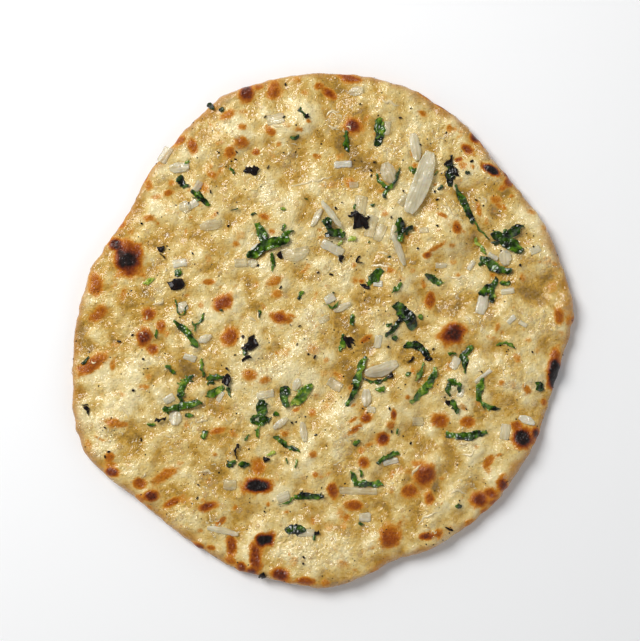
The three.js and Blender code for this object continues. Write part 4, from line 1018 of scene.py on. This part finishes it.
# Scattered things: one tree drops small lumps on the crust, more of them where an attribute is high.
def scatterTree(name, lump, material):
    tree = bpy.data.node_groups.new(name, "GeometryNodeTree")
    face = tree.interface
    face.new_socket("Geometry", in_out="INPUT", socket_type="NodeSocketGeometry")
    identifiers = {}
    for label, kind in (("Most per square metre", "NodeSocketFloat"), ("Smallest", "NodeSocketFloat"),
                        ("Largest", "NodeSocketFloat"), ("Flatness", "NodeSocketFloat"),
                        ("Seed", "NodeSocketInt")):
        identifiers[label] = face.new_socket(label, in_out="INPUT", socket_type=kind).identifier
    face.new_socket("Geometry", in_out="OUTPUT", socket_type="NodeSocketGeometry")
    given = addNode(tree, "NodeGroupInput").outputs
    share = addNode(tree, "GeometryNodeInputNamedAttribute", {"Name": lump["where"]},
                    data_type="FLOAT").outputs["Attribute"]
    density = addNode(tree, "ShaderNodeMath", {0: share, 1: given["Most per square metre"]},
                      operation="MULTIPLY").outputs[0]
    dropped = addNode(tree, "GeometryNodeDistributePointsOnFaces",
                      {"Mesh": given["Geometry"], "Density": density,
                       "Seed": given["Seed"]})
    ball = addNode(tree, "GeometryNodeMeshUVSphere",
                   {"Segments": lump["segments"], "Rings": lump["rings"], "Radius": 1.0})
    squashed = addNode(tree, "ShaderNodeCombineXYZ",
                       {"X": 1.0, "Y": 1.0, "Z": given["Flatness"]}).outputs[0]
    shaped = addNode(tree, "GeometryNodeTransform", {"Geometry": ball.outputs["Mesh"], "Scale": squashed})
    chance = addNode(tree, "FunctionNodeRandomValue", {"Seed": given["Seed"]}, data_type="FLOAT")
    squared = addNode(tree, "ShaderNodeMath", {0: chance.outputs[1], 1: 2.2}, operation="POWER").outputs[0]
    size = addNode(tree, "ShaderNodeMapRange",
                   {"Value": squared, "To Min": given["Smallest"], "To Max": given["Largest"]})
    stretch = addNode(tree, "FunctionNodeRandomValue", {"Seed": given["Seed"]}, data_type="FLOAT_VECTOR")
    stretch.inputs[0].default_value, stretch.inputs[1].default_value = lump["least"], (1.0, 1.0, 1.0)
    scale = addNode(tree, "ShaderNodeVectorMath", {0: stretch.outputs[0], "Scale": size.outputs["Result"]},
                    operation="SCALE").outputs[0]
    placed = addNode(tree, "GeometryNodeInstanceOnPoints", {
        "Points": dropped.outputs["Points"], "Instance": shaped.outputs[0],
        "Rotation": dropped.outputs["Rotation"], "Scale": scale})
    real = addNode(tree, "GeometryNodeRealizeInstances", {"Geometry": placed.outputs[0]})
    smooth = addNode(tree, "GeometryNodeSetShadeSmooth", {0: real.outputs[0]})
    coated = addNode(tree, "GeometryNodeSetMaterial", {"Geometry": smooth.outputs[0], "Material": material})
    addNode(tree, "NodeGroupOutput", {0: coated.outputs[0]})
    return tree, identifiers


def scatter(name, lump, material):
    carrier = newObject(name, crustMesh.copy())
    values = carrier.data.attributes.new(lump["where"], "FLOAT", "POINT")
    values.data.foreach_set("value", lump["share"].astype(np.float32))
    tree, identifiers = scatterTree(name, lump, material)
    modifier = carrier.modifiers.new("scatter", "NODES")
    modifier.node_group = tree
    for label, value in (("Most per square metre", lump["most"]), ("Smallest", lump["sizes"][0] * mm),
                         ("Largest", lump["sizes"][1] * mm), ("Flatness", lump["flatness"]),
                         ("Seed", lump["seed"])):
        modifier[identifiers[label]] = value
    made = bpy.data.meshes.new_from_object(carrier.evaluated_get(bpy.context.evaluated_depsgraph_get()))
    carrier.modifiers.clear()
    carrier.data = made
    carrier.data.name = name
    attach(carrier, "root")
    print(name, len(made.polygons), "faces")
    return carrier


# Melted ghee: clear yellow fat in beads and threads. Nearly see-through, with a bright point on each.
def meltedGhee():
    material, tree = newMaterial("melted_ghee")
    finishMaterial(tree, addNode(tree, "ShaderNodeBsdfPrincipled", {
        "Base Color": linearColour("#E2C284"), "Roughness": 0.07, "IOR": 1.46, "Alpha": 0.32,
        "Specular IOR Level": 0.9, "Coat Weight": 1.0, "Coat Roughness": 0.05}))
    return material


# Ghee ridge where it has dried against a bubble: smooth and wet, with real glints from its gloss.
# Its mostly opaque pale cream colour is a painted highlight, so each ridge shows as a thin bright curve.
def gheeRidgePaintedHighlight():
    material, tree = newMaterial("ghee_ridge_painted_highlight")
    finishMaterial(tree, addNode(tree, "ShaderNodeBsdfPrincipled", {
        # pale cream, mostly opaque base colour: a painted highlight along the ridge
        "Base Color": linearColour("#EDD9A6"), "Roughness": 0.22, "IOR": 1.46, "Alpha": 0.8,
        "Coat Weight": 1.0, "Coat Roughness": 0.08}))
    return material


gheeMaterial, ridgeHighlightMaterial = meltedGhee(), gheeRidgePaintedHighlight()
speckShare = np.clip(0.5 + 0.4 * readGrid(tintFine, vertexX, vertexY), 0, 1) * onTop
specks = {"where": "speckled", "share": speckShare, "most": 40000, "sizes": (0.17, 0.6), "flatness": 0.6,
          "seed": 5,
          "segments": 5, "rings": 4, "least": (0.6, 0.6, 0.5)}
untoasted = 1 - ease(0.15, 0.4, crustLook["toast"])
beadShare = (0.05 + 0.95 * ease(0.2, 0.8, crustLook["frothy"])) * onTop * untoasted
beads = {"where": "beaded", "share": beadShare, "most": 130000, "sizes": (0.45, 1.7),
         "flatness": 0.32, "seed": 9, "segments": 8, "rings": 6, "least": (0.8, 0.8, 0.8)}
charSpecks = scatter("char_specks", specks, charMaterial)
gheeBeads = scatter("ghee_beads", beads, gheeMaterial)

seedHeap = Heap()
flecks(seedHeap, [(x, y, toppingDice.uniform(0.8, 1.7), toppingDice.uniform(0.6, 1.1),
                   toppingDice.uniform(0, 180), 0.5)
                  for x, y in blackSeeds], 0.9, ragged=0.12, lift=0.1)
makeTopping("black_seeds", seedHeap, toppingLook["charred"] | {"ragged": 0.2, "crumple": 0.1}, charMaterial)

# Threads of ghee where it climbs the edge of a bubble, coloured pale as a painted highlight: each is a path
# on the sheet.
gheeThreads = [
    [(-19.5, 70), (-15, 66.5), (-8, 68), (3, 70.5), (8, 72)], [(25, 109), (28, 105), (36, 103)],
    [(1, 98), (4, 101), (9, 100)], [(1, 95), (4.4, 93.4), (8, 95)], [(25, 37), (28, 36.4), (31, 35)],
    [(-80, 12), (-75, 13), (-74, 17)], [(-94, -34), (-91, -37), (-89, -41)],
    [(-59, -66), (-54, -65), (-49, -66)],
    [(60, -53), (65, -51.4), (69, -52)], [(69, -53), (68, -57), (62, -57)], [(64, 7), (66.6, 5), (68, 2)],
    [(41, -68), (42, -64), (45, -61)], [(42, -90), (46, -86.6), (50, -84), (54, -83)],
    [(56, -75), (60, -73.4), (64, -74), (67, -76)], [(-36, 7), (-33, 5.4), (-31, 3)],
    [(-60, -42), (-56, -41), (-53, -43)], [(62, 62), (60, 66), (60, 70)], [(20, 28), (26, 30), (32, 29)],
    [(56, 26), (61, 24), (66, 25)], [(-25, 96), (-21, 93.4), (-18, 94)], [(60, 50), (57, 56), (52, 59)],
]
threadLook = {"radius": 0.78, "sunk": 0.14, "extra": 300, "extraLength": (1.5, 5.0),
              "extraThickness": (0.35, 0.75),
              "waver": 0.35, "seed": 31}
listedThreads = len(gheeThreads)
threadDice = np.random.default_rng(threadLook["seed"])
frothSpots = np.argwhere(frothy * (inset > 6) > 0.45)
for _ in range(threadLook["extra"]):
    row, column = frothSpots[threadDice.integers(len(frothSpots))]
    centre = np.array(fromBread(gridX[column], gridY[row]))
    radius, start = threadDice.uniform(0.8, 2.2), threadDice.uniform(0, 2 * math.pi)
    sweep = threadDice.uniform(*threadLook["extraLength"]) / radius
    turns = [start + sweep * t for t in (0, 0.33, 0.66, 1)]
    gheeThreads.append([tuple(centre + radius * np.array([math.cos(turn),
                                                          math.sin(turn)])) for turn in turns])


def threadTree():
    tree = bpy.data.node_groups.new("ghee_threads", "GeometryNodeTree")
    face = tree.interface
    face.new_socket("Geometry", in_out="INPUT", socket_type="NodeSocketGeometry")
    radiusId = face.new_socket("Radius", in_out="INPUT", socket_type="NodeSocketFloat").identifier
    face.new_socket("Geometry", in_out="OUTPUT", socket_type="NodeSocketGeometry")
    given = addNode(tree, "NodeGroupInput").outputs
    profile = addNode(tree, "GeometryNodeCurvePrimitiveCircle",
                      {"Resolution": 6, "Radius": given["Radius"]}, mode="RADIUS")
    along = addNode(tree, "GeometryNodeSplineParameter").outputs["Factor"]
    arch = addNode(tree, "ShaderNodeMath", {0: along, 1: math.pi}, operation="MULTIPLY").outputs[0]
    taper = addNode(tree, "ShaderNodeMath", {0: arch}, operation="SINE").outputs[0]
    thin = addNode(tree, "ShaderNodeMath", {0: taper, 1: 0.9, 2: 0.1}, operation="MULTIPLY_ADD").outputs[0]
    own = addNode(tree, "GeometryNodeInputRadius").outputs[0]
    thin = addNode(tree, "ShaderNodeMath", {0: thin, 1: own}, operation="MULTIPLY").outputs[0]
    tapered = addNode(tree, "GeometryNodeSetCurveRadius", {"Curve": given["Geometry"], "Radius": thin})
    tube = addNode(tree, "GeometryNodeCurveToMesh",
                   {"Curve": tapered.outputs[0], "Profile Curve": profile.outputs[0],
                    "Fill Caps": True})
    if "Scale" in tube.inputs:
        tree.links.new(thin, tube.inputs["Scale"])
    real = addNode(tree, "GeometryNodeRealizeInstances", {"Geometry": tube.outputs[0]})
    # the tubes get the ghee ridge material, whose pale cream colour is a painted highlight
    coated = addNode(tree, "GeometryNodeSetMaterial",
                     {"Geometry": real.outputs[0], "Material": ridgeHighlightMaterial})
    addNode(tree, "NodeGroupOutput", {0: coated.outputs[0]})
    return tree, radiusId


def layThreads():
    curve = bpy.data.curves.new("ghee_threads", "CURVE")
    curve.dimensions = "3D"
    for number, points in enumerate(gheeThreads):
        thickness = 1.0 if number < listedThreads else threadDice.uniform(*threadLook["extraThickness"])
        path = smoothPath(points, 0.6)
        path += np.stack([readGrid(warpX, *path.T), readGrid(warpY, *path.T)], 1) * threadLook["waver"]
        height = roundedTop(path[:, 0], path[:, 1]) - threadLook["sunk"]
        spline = curve.splines.new("POLY")
        spline.points.add(len(path) - 1)
        for point, (x, y), z in zip(spline.points, path, height):
            point.co = (x * mm, y * mm, z * mm, 1)
            point.radius = thickness
    carrier = newObject("ghee_threads_path", curve)
    tree, radiusId = threadTree()
    modifier = carrier.modifiers.new("threads", "NODES")
    modifier.node_group = tree
    modifier[radiusId] = threadLook["radius"] * mm
    made = bpy.data.meshes.new_from_object(carrier.evaluated_get(bpy.context.evaluated_depsgraph_get()))
    bpy.data.objects.remove(carrier)
    made.shade_smooth()
    threads = newObject("ghee_threads", made)
    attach(threads, "root")
    print("ghee threads:", len(made.polygons), "faces")


layThreads()


# Camera: straight above, with the bread a little low in the picture.
shot = {"lens": 85, "sensor": 36, "widthInLengths": 1.2412, "aside": -0.0069, "ahead": 0.0193, "aim": 6.0}
length = 2 * halfLength * mm
camera = bpy.data.cameras.new("camera")
camera.lens, camera.sensor_width = shot["lens"], shot["sensor"]
camera.clip_start, camera.clip_end = 0.01, 20
cameraObject = newObject("camera", camera)
distance = shot["widthInLengths"] * length * shot["lens"] / shot["sensor"]
cameraObject.location = (middle.x + shot["aside"] * 2 * halfWidth * mm, middle.y + shot["ahead"] * length,
                         shot["aim"] * mm + distance)
bpy.context.scene.camera = cameraObject


# Floor and light: a soft key from the far left, a wide dim fill, and a pale room.
def addArea(name, place, size, watts, colour):
    light = bpy.data.lights.new(name, "AREA")
    light.shape, light.size, light.energy, light.color = "DISK", size, watts, linearColour(colour)[:3]
    lamp = newObject(name, light)
    lamp.location = place
    lamp.rotation_euler = (middle - Vector(place)).to_track_quat("-Z", "Y").to_euler()


studio = {"keyPlace": (-0.55, 0.53, 0.88), "keySize": 0.62, "keyWatts": 12.7, "fillPlace": (0.9, -0.7, 0.9),
          "fillSize": 1.4, "fillWatts": 3.8, "room": 0.76, "ceiling": 0.02}
addArea("key", studio["keyPlace"], studio["keySize"], studio["keyWatts"], "#FFFFFF")
addArea("fill", studio["fillPlace"], studio["fillSize"], studio["fillWatts"], "#FAFCFF")
world = bpy.data.worlds.new("room")
world.use_nodes = True
roomTree = world.node_tree
roomTree.nodes["Background"].inputs["Color"].default_value = linearColour("#FAFBFC")
direction = addNode(roomTree, "ShaderNodeTexCoord").outputs["Generated"]
upward = addNode(roomTree, "ShaderNodeSeparateXYZ", {0: direction}).outputs["Z"]
# pale walls and a dark ceiling, so that the wet crust doesn't mirror a white room
walls = addNode(roomTree, "ShaderNodeMapRange", {"Value": upward, "From Min": 0.3, "From Max": 0.78,
                                                 "To Min": studio["room"], "To Max": studio["ceiling"]})
roomTree.links.new(walls.outputs["Result"], roomTree.nodes["Background"].inputs["Strength"])
bpy.context.scene.world = world
bpy.context.scene.view_settings.view_transform = "Standard"

floorSize = 3.0
floorMesh = bpy.data.meshes.new("floor")
corners = [(-floorSize, -floorSize), (floorSize, -floorSize), (floorSize, floorSize),
           (-floorSize, floorSize)]
floorMesh.from_pydata([(x, y, cadBox[0].z - 0.1 * mm) for x, y in corners], [], [(0, 1, 2, 3)])
floor = newObject("floor", floorMesh)
floorMaterial, floorTree = newMaterial("pale_floor")
finishMaterial(floorTree, addNode(floorTree, "ShaderNodeBsdfPrincipled", {
    "Base Color": linearColour("#FAFAFA"), "Roughness": 0.6}))
floorMesh.materials.append(floorMaterial)
print("stage, lights and camera placed")
